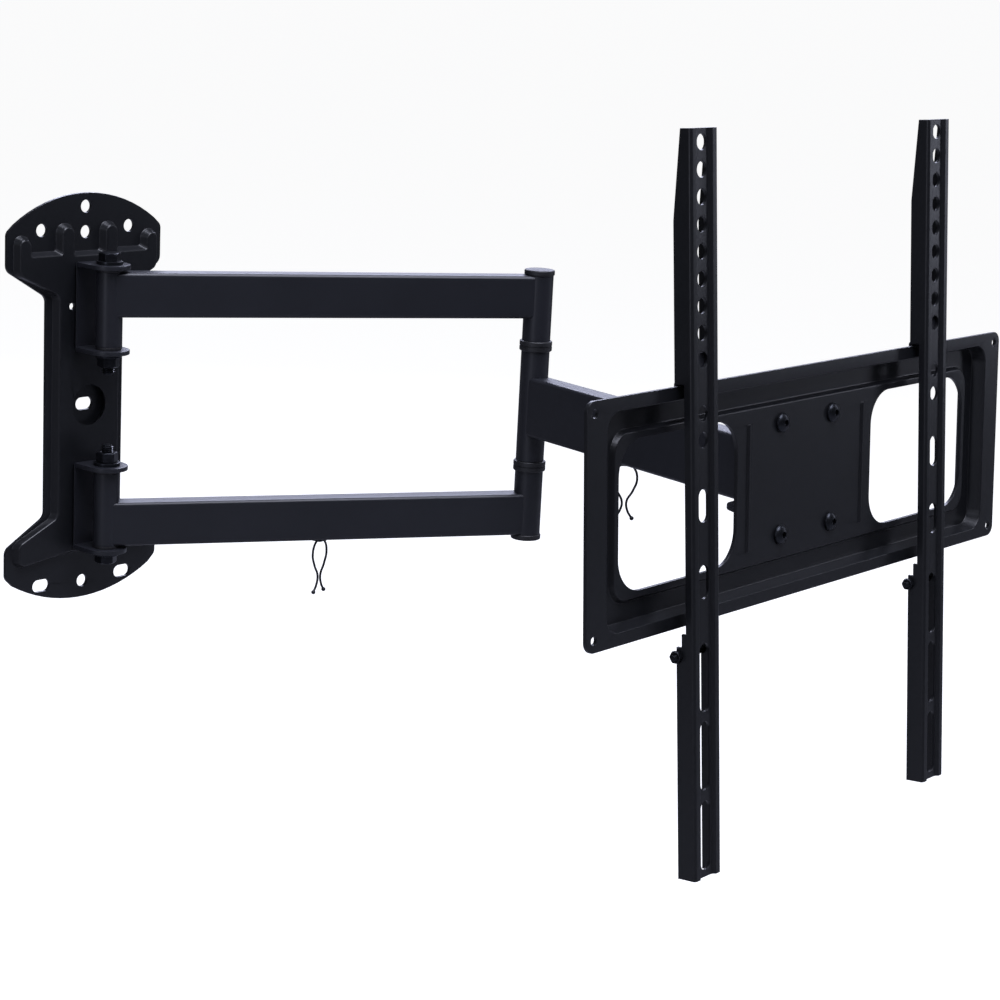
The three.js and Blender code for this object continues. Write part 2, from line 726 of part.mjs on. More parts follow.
function carrierPlate() {
  const halfX = carrierWidth / 2
  const halfZ = carrierHeight / 2
  const rim = standing(box(halfX, halfZ, carrierCorner), rimFront - carrierSheet, carrierSheet)
  const outerX = halfX - grooveSideMargin
  const outerZ = halfZ - grooveTopMargin
  const innerX = outerX - grooveWidth
  const innerZ = floorHalfHeight
  const grooveFloor = rimFront - grooveDepth
  const trayBack = grooveFloor - carrierSheet
  const trayDeep = rimFront - trayBack
  const shrink = carrierSheet
  const grooved = (inset) => box(outerX - inset, outerZ - inset, grooveCorner - inset)
  const raised = (inset) => box(innerX - inset, innerZ - inset, floorCorner - inset)
  const tray = drafted(grooved(wallDraft), grooved(0), trayBack, trayDeep)
  const scoop = drafted(grooved(wallDraft + shrink), grooved(shrink - 0.2), grooveFloor, grooveDepth + 1)
  const islandHeight = grooveDepth - floorDepth
  const island = drafted(raised(-wallDraft), raised(0), grooveFloor - 0.5, islandHeight + 0.5)
  const under = drafted(raised(shrink - wallDraft), raised(shrink), trayBack - 1, islandHeight + 1)
  const shell = cut(join([rim, tray]), [scoop]).add(island).subtract(under)
  const windowFar = halfX - windowSideMargin
  const middle = (windowNear + windowFar) / 2
  const halfWindow = (windowFar - windowNear) / 2
  const windows = [-1, 1].map((side) => {
    const outline = box(halfWindow, halfZ - windowTopMargin, windowCorner, 6)
      .map((p) => new THREE.Vector2(p.x + side * middle, p.y))
    return standing(outline, trayBack - 1, trayDeep + 2)
  })
  const beads = [-1, 1].map((side) => {
    const outline = box(beadHalfWidth, innerZ - beadMargin, beadHalfWidth - 0.1, 2)
      .map((p) => new THREE.Vector2(p.x + side * beadPlace, p.y))
    return standing(outline, rimFront - floorDepth - 0.5, beadProud + 0.5)
  })
  const bolts = boltPlaces()
    .map(([x, z]) => standing(circle(plateBoltRadius + gap, smallSides, x, z), trayBack, trayDeep))
  const corners = [-1, 1].flatMap((sx) => [-1, 1].map((sz) => {
    const x = sx * (halfX - cornerHoleInset)
    const z = sz * (halfZ - cornerHoleInset)
    return standing(circle(cornerHoleRadius, smallSides, x, z), trayBack, trayDeep + 1)
  }))
  return cut(join([shell, ...beads]), [...windows, ...bolts, ...corners])
}

function plateBolt() {
  const edge = plateBoltHead
  const socket = 2.2
  const button = [[edge, 0], [edge - 0.2, 1.2], [edge - 1.6, 2.6], [edge - 3.2, 3.2], [socket, 3.3]]
  const head = turned([[0, 0], ...button, [socket, 1.3], [0, 1.3]], smallSides)
  const length = carrierSheet + earSheet + 2 * gap + plateNut + 2
  return join([head, upright(plateBoltRadius, -length, 0.5, smallSides)])
}

function carrier(children) {
  const tipped = new THREE.Group()
  tipped.position.set(0, -tiltOut, 0)
  tipped.rotation.x = -THREE.MathUtils.degToRad(carrierTilt)
  const raised = new THREE.Group()
  raised.position.z = carrierRise
  const front = [Math.PI / 2, 0, 0]
  raised.add(node('carrier_plate', carrierPlate(), satin))
  const corners = ['upper_left', 'upper_right', 'lower_left', 'lower_right']
  boltPlaces().forEach(([x, z], i) => {
    const boltOut = floorBack + carrierSheet + gap
    raised.add(place(node(`${corners[i]}_plate_bolt`, plateBolt(), blackOxide), x, -boltOut, z, front))
    const nut = nutUp(plateBoltRadius, tiltHexFlats, plateNut)
    raised.add(place(node(`${corners[i]}_plate_nut`, nut, blackOxide), x, -(bracketBase - gap), z, front))
  })
  raised.add(...children)
  tipped.add(raised, node('tilt_bracket', tiltBracket(), paint))
  return tipped
}

// ---- rails ----
// A rail is drawn with its front face at out = railDepth, so that out = 0 is the rim of the carrier plate.
function railSection() {
  const half = railWidth / 2
  const step = channelHalfWidth
  const front = railDepth
  const back = front - railSheet
  const right = [
    [step - channelDraft, front - channelDepth, 0],
    [step + channelDraft, front, 0],
    [half, front, 2],
    [half, -0.5, 0],
    [half - railSheet, -0.5, 0],
    [half - railSheet, back, 0.8],
    [step + 1.6, back, 0],
    [step + 0.2, back - channelDepth, 0],
  ]
  const left = right.map(([x, y, r]) => [-x, y, r]).reverse()
  return rounded([...right, ...left], 3)
}

// the side view in (y, z), with y = -out
function railSide() {
  const halfZ = carrierHeight / 2
  const back = (depth) => depth - railDepth
  return rounded([
    [-railDepth - 1, railTop, 0],
    [-railDepth - 1, railBottom, 0],
    [back(railDepth), railBottom, 6],
    [back(railDepth), -halfZ - 2 - stepLength, 1.2],
    [back(stepDepth), -halfZ - 2 - stepLength, 0],
    [back(stepDepth), -halfZ - 2, 1],
    [back(notchDepth), -halfZ - 2, 0],
    [back(notchDepth), halfZ + 1.6, 0],
    [back(railDepth), halfZ + 1.6, 1.2],
    [back(railDepth), railTop - railTaper, 8],
    [back(railDepth * 0.6), railTop, 5],
  ], 3)
}

function rail() {
  const section = railSection().map((p) => new THREE.Vector2(p.x, -p.y))
  const bar = lying(section.reverse(), railBottom, railTop)
  const profile = sideways(railSide(), -railWidth, railWidth)
  const across = (points) => standing(points, 2, railDepth)
  const hole = (k) => across(circle(railHoleRadius, smallSides, 0, railHoleTop - k * railHolePitch))
  const slots = railSlots.map(([top, bottom]) => {
    const half = (top - bottom) / 2
    const outline = box(railHoleRadius, half, railHoleRadius - 0.01, 6)
    return across(outline.map((p) => new THREE.Vector2(p.x, p.y + bottom + half)))
  })
  const lockBore = sideways(circle(lockRadius + gap, smallSides, lockOut, lockHeight), -railWidth, railWidth)
  return cut(bar.intersect(profile), [...railHoles.map(hole), ...slots, lockBore])
}

// the hook between a rail's flanges, over the carrier plate's top edge and down behind its rim
function railHook() {
  const lean = Math.sin(THREE.MathUtils.degToRad(railLean)) * carrierHeight / 2
  const behind = carrierSheet - lean + 0.5
  const edge = carrierHeight / 2 + hookClearance
  const front = railDepth - railSheet - channelDepth - gap
  const outline = [
    [front, edge + hookRise],
    [front - hookSheet, edge + hookRise],
    [front - hookSheet, edge + hookSheet],
    [-behind - hookSheet, edge + hookSheet],
    [-behind - hookSheet, edge - hookDrop],
    [-behind, edge - hookDrop],
    [-behind, edge],
    [front, edge],
  ].map(([out, z]) => new THREE.Vector2(-out, z))
  const half = railWidth / 2 - railSheet - 2
  return sideways(outline, -half, half)
}

function railPieces(side) {
  const headPlace = railWidth / 2 + gap
  const turn = [0, Math.PI / 2, 0]
  const screw = boltUp(lockRadius, lockFlats, lockHead, railWidth + 2 * gap + lockNut + 2)
  const nut = nutUp(lockRadius, lockFlats, lockNut)
  const leaning = new THREE.Group()
  leaning.position.set(railPlaces[side], -rimFront, 0)
  leaning.rotation.x = -THREE.MathUtils.degToRad(railLean)
  leaning.add(node(`${side}_rail`, rail(), satin))
  leaning.add(node(`${side}_rail_hook`, railHook(), paint))
  leaning.add(place(node(`${side}_rail_lock_screw`, screw, blackOxide), headPlace, lockOut, lockHeight, turn))
  leaning.add(place(node(`${side}_rail_lock_nut`, nut, blackOxide), -headPlace, lockOut, lockHeight, turn))
  return leaning
}

// ---- assembly ----
const brackets = [
  node('upper_pivot_bracket', pivotBracket(), paint),
  node('lower_pivot_bracket', pivotBracket().mirror([0, 0, 1]), paint),
]

const head = swivelHead([carrier([railPieces('left'), railPieces('right')])])
const mount = new THREE.Group()
mount.add(node('wall_plate', wallPlate(), satin), ...brackets)
mount.add(...wallPivot('upper', true), ...wallPivot('lower', false))
mount.add(longArm([shortArm([head])]))

export default mount
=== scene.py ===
import json
from math import atan2, cos, pi, radians, tan

import bmesh
import bpy
from mathutils import Matrix, Vector


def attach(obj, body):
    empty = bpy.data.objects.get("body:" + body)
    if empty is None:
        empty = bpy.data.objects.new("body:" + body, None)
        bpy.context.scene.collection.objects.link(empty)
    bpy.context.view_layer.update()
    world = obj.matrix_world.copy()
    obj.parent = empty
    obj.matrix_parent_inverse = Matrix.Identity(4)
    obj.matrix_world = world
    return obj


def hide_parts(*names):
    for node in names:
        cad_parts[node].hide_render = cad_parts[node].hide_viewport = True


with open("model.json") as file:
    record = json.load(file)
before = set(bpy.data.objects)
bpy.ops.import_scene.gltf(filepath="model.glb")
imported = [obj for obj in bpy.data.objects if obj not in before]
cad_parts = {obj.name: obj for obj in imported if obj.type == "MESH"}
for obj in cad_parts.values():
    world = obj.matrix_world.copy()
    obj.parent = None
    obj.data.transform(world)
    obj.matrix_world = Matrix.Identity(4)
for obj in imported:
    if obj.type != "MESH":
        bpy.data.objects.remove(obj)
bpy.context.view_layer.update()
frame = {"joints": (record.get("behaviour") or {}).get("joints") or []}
bpy.ops.object.select_all(action="DESELECT")

# ---- Camera, floor and light ----
# The mount is seen from its front left and a little above, through a long lens. It hangs over a pale studio
# floor, under one large soft box, with another behind it on the right for the bends that face up, and a tall
# narrow box on each side for the lights along its edges.
MM = 0.001
CAMERA_TARGET = Vector((0.4293, 0.0, -0.125))
CAMERA_DISTANCE = 1.9671
CAMERA_TURN = radians(-48.10)
CAMERA_RISE = radians(12.76)
CAMERA_ROLL = radians(2.94)
CAMERA_LENS = 86.4

bpy.ops.object.camera_add()
camera = bpy.context.object
aim = Matrix.Rotation(CAMERA_TURN, 4, "Z") @ Matrix.Rotation(pi / 2 - CAMERA_RISE, 4, "X")
camera.matrix_world = (
    Matrix.Translation(CAMERA_TARGET) @ aim @ Matrix.Translation((0, 0, CAMERA_DISTANCE))
    @ Matrix.Rotation(CAMERA_ROLL, 4, "Z")
)
camera.data.lens = CAMERA_LENS
camera.data.sensor_width = 36
camera.data.clip_start = 0.05
bpy.context.scene.camera = camera
bpy.context.scene.view_settings.view_transform = "Standard"


def colour(code):
    """An sRGB hex colour as linear red, green, blue and 1."""
    parts = [int(code[i:i + 2], 16) / 255 for i in (1, 3, 5)]
    return [p / 12.92 if p <= 0.04045 else ((p + 0.055) / 1.055) ** 2.4 for p in parts] + [1]


def add(tree, kind, links=None, **settings):
    """Adds a node to a tree, with its settings by socket name or attribute, and links into its sockets."""
    made = tree.nodes.new(kind)
    for name, value in settings.items():
        title = name.replace("_", " ")
        if title in made.inputs:
            made.inputs[title].default_value = value
        else:
            setattr(made, name, value)
    for socket, source in (links or {}).items():
        tree.links.new(source, made.inputs[socket])
    return made


def new_material(name, **settings):
    """A material of one shader, named for the real finish, with the shader's constant settings."""
    made = bpy.data.materials.new(name)
    made.use_nodes = True
    made.node_tree.nodes.clear()
    shader = add(made.node_tree, "ShaderNodeBsdfPrincipled", **settings)
    add(made.node_tree, "ShaderNodeOutputMaterial", {"Surface": shader.outputs["BSDF"]})
    return made, made.node_tree, shader


# Pale seamless paper, which runs to the horizon. It glows to the camera alone, so that it stays almost white
# behind the mount and doesn't light the mount from below.
FLOOR_SIZE = 240
FLOOR_HEIGHT = -0.62
PAPER_GLOW = 0.93
bpy.ops.mesh.primitive_plane_add(size=FLOOR_SIZE, location=(0, 0, FLOOR_HEIGHT))
floor = bpy.context.object
floor.name = "studio_floor"
paper, tree, shader = new_material("white seamless paper", Base_Color=colour("#8f9094"), Roughness=0.9,
                                   Emission_Color=(1, 1, 1, 1))
glow = add(tree, "ShaderNodeMath", {0: add(tree, "ShaderNodeLightPath").outputs["Is Camera Ray"]},
           operation="MULTIPLY")
glow.inputs[1].default_value = PAPER_GLOW
tree.links.new(glow.outputs[0], shader.inputs["Emission Strength"])
floor.data.materials.append(paper)

# The studio is dim round the mount, so that black paint stays black, and is white only to the camera.
STUDIO_LIGHT = 0.11
world = bpy.data.worlds.new("studio")
bpy.context.scene.world = world
world.use_nodes = True
world.node_tree.nodes.clear()
path = add(world.node_tree, "ShaderNodeLightPath")
dim = add(world.node_tree, "ShaderNodeBackground", Color=colour("#e6e9f2"), Strength=STUDIO_LIGHT)
white = add(world.node_tree, "ShaderNodeBackground", Color=(1, 1, 1, 1), Strength=1.0)
seen = add(world.node_tree, "ShaderNodeMixShader",
           {0: path.outputs["Is Camera Ray"], 1: dim.outputs[0], 2: white.outputs[0]})
add(world.node_tree, "ShaderNodeOutputWorld", {"Surface": seen.outputs[0]})


def soft_box(name, place, target, width, height, power, tint):
    """One soft box, turned to face a point."""
    bpy.ops.object.light_add(type="AREA", location=place)
    lamp = bpy.context.object
    lamp.name = name
    lamp.rotation_euler = (Vector(target) - Vector(place)).to_track_quat("-Z", "Y").to_euler()
    lamp.data.shape = "RECTANGLE"
    lamp.data.size = width
    lamp.data.size_y = height
    lamp.data.energy = power
    lamp.data.color = colour(tint)[:3]


soft_box("overhead_box", (0.0, -0.9, 2.0), (0.2, -0.3, 0), 1.5, 2.2, 95, "#e9ecff")
soft_box("back_box", (2.1, 1.5, 1.5), (0.3, -0.3, 0), 2.4, 1.2, 70, "#dfe3ff")
soft_box("left_box", (-2.3, -0.7, 0.7), (0.1, -0.3, 0), 0.35, 2.0, 11, "#e6eaff")
soft_box("right_box", (2.4, -1.5, 0.9), (0.2, -0.4, 0), 0.35, 2.0, 9, "#e6eaff")

# ---- Wall plate ----
# One stamped sheet of 2.5 mm steel: a raised pan with fingers between the screw pockets, and a round dimple
# at its middle. Black polyester powder is baked on after stamping. Screws hold it to the wall.
SHEET = 2.5
PAN_HEIGHT = 8
LOBE, LOBE_NEAR, LOBE_FAR = 64, 93.5, 118.5
NECK, NECK_HEIGHT = 32.3, 74.5
PLATE_TOP, PLATE_BOTTOM = 142.5, 135.5
RIM = 6
PAN_SLOPE = 1.5
POCKET_FLOOR = 104
SCREW_RADIUS = 4.25
SCREW_HOLES = [(0, 133.5), (-36.3, 119), (36.3, 119), (0, 116.5), (0, -124)]
SCREW_SLOTS = [(0, 0), (-34.6, -122.4), (34.6, -122.4)]
SCREW_SLOT_LENGTH = 14
MARKER_HOLE = (-15, 68, 2.2)


def start():
    """Leaves edit mode with nothing selected."""
    if bpy.context.object and bpy.context.object.mode != "OBJECT":
        bpy.ops.object.mode_set(mode="OBJECT")
    bpy.ops.object.select_all(action="DESELECT")


def make_active(obj):
    """Selects one object alone."""
    start()
    obj.select_set(True)
    bpy.context.view_layer.objects.active = obj


def choose(obj, kind, test=lambda middle, item: True):
    """Enters edit mode and selects the vertices, edges or faces whose middle, in mm, passes a test."""
    make_active(obj)
    bpy.ops.object.mode_set(mode="EDIT")
    bpy.ops.mesh.select_mode(type=kind)
    bpy.ops.mesh.select_all(action="DESELECT")
    mesh = bmesh.from_edit_mesh(obj.data)
    for item in {"VERT": mesh.verts, "EDGE": mesh.edges, "FACE": mesh.faces}[kind]:
        points = [item.co] if kind == "VERT" else [v.co for v in item.verts]
        if test(sum(points, Vector()) / len(points) / MM, item):
            item.select_set(True)
    mesh.select_flush(True)
    bmesh.update_edit_mesh(obj.data)


def face_out(obj):
    """Turns every face of a closed shape outwards."""
    choose(obj, "FACE")
    bpy.ops.mesh.remove_doubles(threshold=0.000001)
    bpy.ops.mesh.normals_make_consistent(inside=False)
    start()


def apply_place(obj, matrix=Matrix()):
    """Moves a piece from its drawing place to its place on the mount, and sets its object at the origin."""
    obj.matrix_world = matrix @ obj.matrix_world
    make_active(obj)
    bpy.ops.object.transform_apply(location=True, rotation=True, scale=True)
    start()
    return obj


def block(low, high):
    """A block between two corners, in millimetres."""
    start()
    middle = [(a + b) / 2 * MM for a, b in zip(low, high)]
    size = [(b - a) * MM for a, b in zip(low, high)]
    bpy.ops.mesh.primitive_cube_add(size=1, location=middle, scale=size)
    return apply_place(bpy.context.object)


TURNS = {"X": (0, pi / 2, 0), "Y": (pi / 2, 0, 0), "Z": (0, 0, 0)}


def point(axis, a, b, along):
    """The point at (a, b) across an axis and at a distance along it, in millimetres."""
    return Vector({"X": (along, a, b), "Y": (a, along, b), "Z": (a, b, along)}[axis])


def bar(radius, low, high, axis="Z", at=(0, 0), sides=64, far_radius=None):
    """A round bar or cone along an axis, in millimetres, centred at a place across it."""
    start()
    middle = point(axis, *at, (low + high) / 2) * MM
    if far_radius is None:
        bpy.ops.mesh.primitive_cylinder_add(vertices=sides, radius=radius * MM, depth=(high - low) * MM,
                                            location=middle, rotation=TURNS[axis])
    else:
        bpy.ops.mesh.primitive_cone_add(vertices=sides, radius1=radius * MM, radius2=far_radius * MM,
                                        depth=(high - low) * MM, location=middle, rotation=TURNS[axis])
    return apply_place(bpy.context.object)


def flat_outline(corners, axis, along, steps=6):
    """One flat face cut to corners (a, b, radius) across an axis, each corner rounded to its radius."""
    start()
    bpy.ops.mesh.primitive_circle_add(vertices=len(corners), radius=1, fill_type="NGON")
    piece = bpy.context.object
    for vertex, corner in zip(piece.data.vertices, corners):
        vertex.co = point(axis, corner[0], corner[1], along) * MM
    for i, (a, b, radius) in enumerate(corners):
        if radius:
            here = point(axis, a, b, along)
            before, after = corners[i - 1], corners[(i + 1) % len(corners)]
            angle = (Vector(before[:2]) - Vector((a, b))).angle(Vector(after[:2]) - Vector((a, b)))
            choose(piece, "VERT", lambda middle, item: (middle - here).length < 0.01)
            bpy.ops.mesh.bevel(offset=radius / tan(angle / 2) * MM, segments=steps, affect="VERTICES")
    start()
    return piece


def cut_piece(corners, axis, low, high, steps=6):
    """A sheet cut to corners (a, b, radius) and extruded along an axis from low to high."""
    piece = flat_outline(corners, axis, low, steps)
    choose(piece, "FACE")
    way = point(axis, 0, 0, high - low) * MM
    bpy.ops.mesh.extrude_region_move(TRANSFORM_OT_translate={"value": way})
    face_out(piece)
    return piece


def joined(parts):
    """Several objects as one, their faces left as they are."""
    start()
    for part in parts:
        part.select_set(True)
    bpy.context.view_layer.objects.active = parts[0]
    if len(parts) > 1:
        bpy.ops.object.join()
    start()
    return parts[0]


def drawn_piece(back, front, low, high, steps=6):
    """A piece drawn in a press: one outline at its back, another at its front, and sloping sides between."""
    piece = joined([flat_outline(back, "Y", low, steps), flat_outline(front, "Y", high, steps)])
    choose(piece, "FACE")
    bpy.ops.mesh.delete(type="ONLY_FACE")
    choose(piece, "EDGE")
    bpy.ops.mesh.bridge_edge_loops()
    for level in (low, high):
        choose(piece, "EDGE", lambda middle, item: abs(middle.y - level) < 0.01)
        bpy.ops.mesh.edge_face_add()
    face_out(piece)
    return piece


def modify(obj, kind, **settings):
    """Adds a modifier, sets it and applies it."""
    make_active(obj)
    bpy.ops.object.modifier_add(type=kind)
    made = obj.modifiers[-1]
    for name, value in settings.items():
        setattr(made, name, value)
    bpy.ops.object.modifier_apply(modifier=made.name)
    start()


def boolean(obj, tools, operation="DIFFERENCE"):
    """Cuts, joins or crosses a piece with one tool after another, which are used up."""
    for tool in tools:
        modify(obj, "BOOLEAN", object=tool, operation=operation, solver="EXACT")
        bpy.data.objects.remove(tool)
    return obj


def round_edges(obj, width, test, steps=4):
    """Rounds the edges that pass a test, as a press or a bending tool does."""
    choose(obj, "EDGE", test)
    bpy.ops.mesh.bevel(offset=width * MM, segments=steps, affect="EDGES", clamp_overlap=True)
    start()
    return obj


def soften(obj, width, steps=2, angle=32):
    """Takes the sharpness off every edge, as a baked coat of paint does."""
    choose(obj, "FACE")
    bpy.ops.mesh.remove_doubles(threshold=0.00001)
    bpy.ops.mesh.dissolve_limited(angle_limit=radians(0.5))
    start()
    modify(obj, "TRIANGULATE", min_vertices=5)
    modify(obj, "BEVEL", width=width * MM, segments=steps, limit_method="ANGLE", angle_limit=radians(angle),
           use_clamp_overlap=False)
    return obj


def slot_tool(x, z, length, radius, low, high, along="Z"):
    """A cutter for a slot: a round bar with one half moved away from the other."""
    tool = bar(radius, low, high, "Y", (x, z), 48)
    stretch = length / 2 - radius
    for sign in (1, -1):
        if along == "Z":
            choose(tool, "VERT", lambda middle, item: (middle.z - z) * sign > 0.001)
            bpy.ops.transform.translate(value=(0, 0, sign * stretch * MM))
        else:
            choose(tool, "VERT", lambda middle, item: (middle.x - x) * sign > 0.001)
            bpy.ops.transform.translate(value=(sign * stretch * MM, 0, 0))
    start()
    return tool


def hand_over(obj, name, body, nodes, material, smooth=30):
    """Names a finished piece, shades and paints it, and sets it in its CAD nodes' place on their body."""
    obj.name = name
    obj.data.name = name
    make_active(obj)
    bpy.ops.object.shade_smooth_by_angle(angle=radians(smooth))
    obj.data.materials.clear()
    obj.data.materials.append(material)
    start()
    modify(obj, "WEIGHTED_NORMAL", keep_sharp=True)
    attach(obj, body)
    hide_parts(*nodes)


def copy_of(obj, matrix=Matrix()):
    """A copy with its own mesh, moved by a matrix."""
    twin = obj.copy()
    twin.data = obj.data.copy()
    bpy.context.scene.collection.objects.link(twin)
    return apply_place(twin, matrix)


# Polyester powder coat, baked on steel. The melted beads leave a fine orange peel, half a millimetre to a
# millimetre across, that breaks up each highlight, and the coat is a little thinner and greyer in places.
CLOUD_SIZE = 45


def powder_coat(name, paint, worn, roughness, grain, depth):
    made, tree, shader = new_material(name, Specular_IOR_Level=0.4)
    place = add(tree, "ShaderNodeTexCoord").outputs["Object"]
    peel = add(tree, "ShaderNodeTexNoise", {"Vector": place}, Scale=1 / (grain * MM), Detail=3.0,
               Roughness=0.6)
    cloud = add(tree, "ShaderNodeTexNoise", {"Vector": place}, Scale=1 / (CLOUD_SIZE * MM), Detail=3.0)
    tint = add(tree, "ShaderNodeMixRGB", {"Fac": cloud.outputs["Fac"]}, Color1=colour(paint),
               Color2=colour(worn))
    sheen = add(tree, "ShaderNodeMapRange", {"Value": peel.outputs["Fac"]},
                To_Min=roughness - 0.08, To_Max=roughness + 0.08)
    bump = add(tree, "ShaderNodeBump", {"Height": peel.outputs["Fac"]}, Strength=0.4, Distance=depth * MM)
    tree.links.new(tint.outputs[0], shader.inputs["Base Color"])
    tree.links.new(sheen.outputs[0], shader.inputs["Roughness"])
    tree.links.new(bump.outputs[0], shader.inputs["Normal"])
    return made


sheet_paint = powder_coat("fine grain black powder coat", "#101113", "#16171a", 0.34, 0.8, 0.06)


def mirrored(right):
    """A closed outline from its right half."""
    return right + [(-x, z, r) for x, z, r in reversed(right)]


def lobe_arc(half, height, reach, steps=9):
    """The right half of a lobe's arched end, from its middle."""
    rise = reach - height
    radius = (half * half + rise * rise) / (2 * rise)
    whole = atan2(half, radius - rise)
    turns = [whole * (k + 0.5) / steps for k in range(steps)]
    return [(radius * cos(pi / 2 - t), reach - radius * (1 - cos(t)), 0) for t in turns]


def plate_corners():
    bottom = [(x, -z, 0) for x, z, r in lobe_arc(LOBE - 3, LOBE_FAR - 1, PLATE_BOTTOM)]
    top = [(x, z, 0) for x, z, r in lobe_arc(LOBE - 3, LOBE_FAR + 3, PLATE_TOP)]
    sides = [(LOBE, -(LOBE_FAR - 5), 5), (LOBE, -LOBE_NEAR, 6), (NECK, -NECK_HEIGHT, 6),
             (NECK, NECK_HEIGHT, 6), (LOBE, LOBE_NEAR, 6), (LOBE, LOBE_FAR, 5)]
    return mirrored(bottom + sides + top[::-1])


def pan_corners(inset):
    side, neck, floor = LOBE - RIM - inset, NECK - RIM - inset, POCKET_FLOOR - inset
    tip = 5.3 - 0.9 * inset
    near, outer = 12 + inset, side - 11 + 2 * inset
    return mirrored([
        (18, inset - 102, 15), (side, inset - 107, 6 - inset), (side, -(LOBE_NEAR - 3), 5),
        (neck, -NECK_HEIGHT - 1, 6), (neck, NECK_HEIGHT + 1, 6), (side, LOBE_NEAR - 3, 5),
        (side, 117 - inset, tip), (outer, 114 - inset, tip), (outer, floor, 2),
        (24 - inset, floor, 2), (24 - inset, 122 - inset, tip), (near, 122 - inset, tip), (near, floor - 1,
                                                                                           2),
    ])


wall_plate = cut_piece(plate_corners(), "Y", -SHEET, 0, 5)
pan = drawn_piece(pan_corners(-PAN_SLOPE), pan_corners(PAN_SLOPE), -1, -PAN_HEIGHT)
round_edges(pan, 2.2, lambda middle, edge: all(v.co.y < -(PAN_HEIGHT - 0.01) * MM for v in edge.verts), 6)
hollow = drawn_piece(pan_corners(2 - PAN_SLOPE), pan_corners(2 + PAN_SLOPE), 1, -(PAN_HEIGHT - SHEET))
boolean(wall_plate, [pan], "UNION")
boolean(wall_plate, [hollow])
boolean(wall_plate, [bar(19.5, -(PAN_HEIGHT - 0.5), 0, "Y", far_radius=14)], "UNION")
dimple = bar(17.5, -(PAN_HEIGHT + SHEET), -SHEET, "Y", far_radius=12)
holes = [bar(SCREW_RADIUS, -20, 5, "Y", at, 48) for at in SCREW_HOLES]
slots = [slot_tool(x, z, SCREW_SLOT_LENGTH, SCREW_RADIUS, -20, 5, "X") for x, z in SCREW_SLOTS]
marker = bar(MARKER_HOLE[2], -20, 5, "Y", MARKER_HOLE[:2], 32)
boolean(wall_plate, [dimple, joined(holes + slots + [marker])])
soften(wall_plate, 0.4)
hand_over(wall_plate, "stamped_wall_plate", "wall_bracket", ["wall_plate"], sheet_paint)

# ---- Pivot brackets ----
# Two pieces of 3 mm steel strip bent to a C, drilled through both tabs for the pivot bolt and welded by their
# webs to the wall plate's pan before painting.
PIVOT_OUT = 28
TAB_SHEET = 3
TAB_RADIUS = 14
TAB_INNER, TAB_OUTER = 38, 98
PIVOT_RADIUS = 4
RUNNING = 0.3

tube_paint = powder_coat("satin black powder coat", "#1a1b1f", "#212227", 0.38, 0.9, 0.05)

bracket = cut_piece([(TAB_RADIUS, -PAN_HEIGHT, 0), (TAB_RADIUS, -PIVOT_OUT - TAB_RADIUS, TAB_RADIUS - 0.01),
                     (-TAB_RADIUS, -PIVOT_OUT - TAB_RADIUS, TAB_RADIUS - 0.01), (-TAB_RADIUS, -PAN_HEIGHT,
                                                                                 0)],
                    "Z", TAB_INNER, TAB_OUTER, 16)
round_edges(bracket, 3.5, lambda middle, edge: middle.y > -PAN_HEIGHT - 0.1 and abs(middle.x) < 1
            and min(middle.z - TAB_INNER, TAB_OUTER - middle.z) < 0.1, 6)
opening = block((-30, -60, TAB_INNER + TAB_SHEET), (30, -PAN_HEIGHT - TAB_SHEET, TAB_OUTER - TAB_SHEET))
boolean(bracket, [opening, bar(PIVOT_RADIUS + RUNNING, 0, 150, at=(0, -PIVOT_OUT), sides=48)])
soften(bracket, 0.4)
lower_bracket = copy_of(bracket, Matrix.Rotation(pi, 4, "Y"))
hand_over(bracket, "upper_bent_bracket", "wall_bracket", ["upper_pivot_bracket"], tube_paint)
hand_over(lower_bracket, "lower_bent_bracket", "wall_bracket", ["lower_pivot_bracket"], tube_paint)

# ---- Pivot bolts ----
# M8 hexagon bolts of steel, cold headed with a chamfered crown, their threads rolled, blackened and oiled.
# Each runs down through the bracket and knuckle, with a washer under its head and another under its nut.
HEX_FLATS = 13
HEAD_HEIGHT = 5.5
NUT_HEIGHT = 6.8
WASHER_RADIUS = 9
WASHER_SHEET = 2.2
THREAD_PAST = 5


def turned(profile, steps=64):
    """A piece turned on a lathe about Z, from a closed profile of (radius, height)."""
    start()
    bpy.ops.mesh.primitive_circle_add(vertices=len(profile), radius=1)
    piece = bpy.context.object
    for vertex, (radius, height) in zip(piece.data.vertices, profile):
        vertex.co = Vector((radius, 0, height)) * MM
    choose(piece, "EDGE")
    bpy.ops.mesh.spin(steps=steps, angle=2 * pi, center=(0, 0, 0), axis=(0, 0, 1))
    face_out(piece)
    choose(piece, "EDGE", lambda middle, edge: edge.calc_length() < 0.0000001)
    bpy.ops.mesh.delete(type="EDGE")
    face_out(piece)
    return piece


CHAMFER_SHARE = 0.48


def hexagon(flats, low, high, crowned=(True, True)):
    """A hexagon bar with its corners chamfered at one end or both, as a bolt's head or a nut is."""
    corner = flats / 2 / cos(pi / 6)
    fall = (corner + 1 - flats * CHAMFER_SHARE) * tan(radians(30))
    lower = [(0, low), (flats * CHAMFER_SHARE, low), (corner + 1, low + fall)] if crowned[0] else [(0, low),
                                                                                          (corner + 1, low)]
    upper = ([(corner + 1, high - fall), (flats * CHAMFER_SHARE, high), (0, high)] if crowned[1]
             else [(corner + 1, high), (0, high)])
    return boolean(bar(corner, low, high, sides=6), [turned(lower + upper, 48)], "INTERSECT")


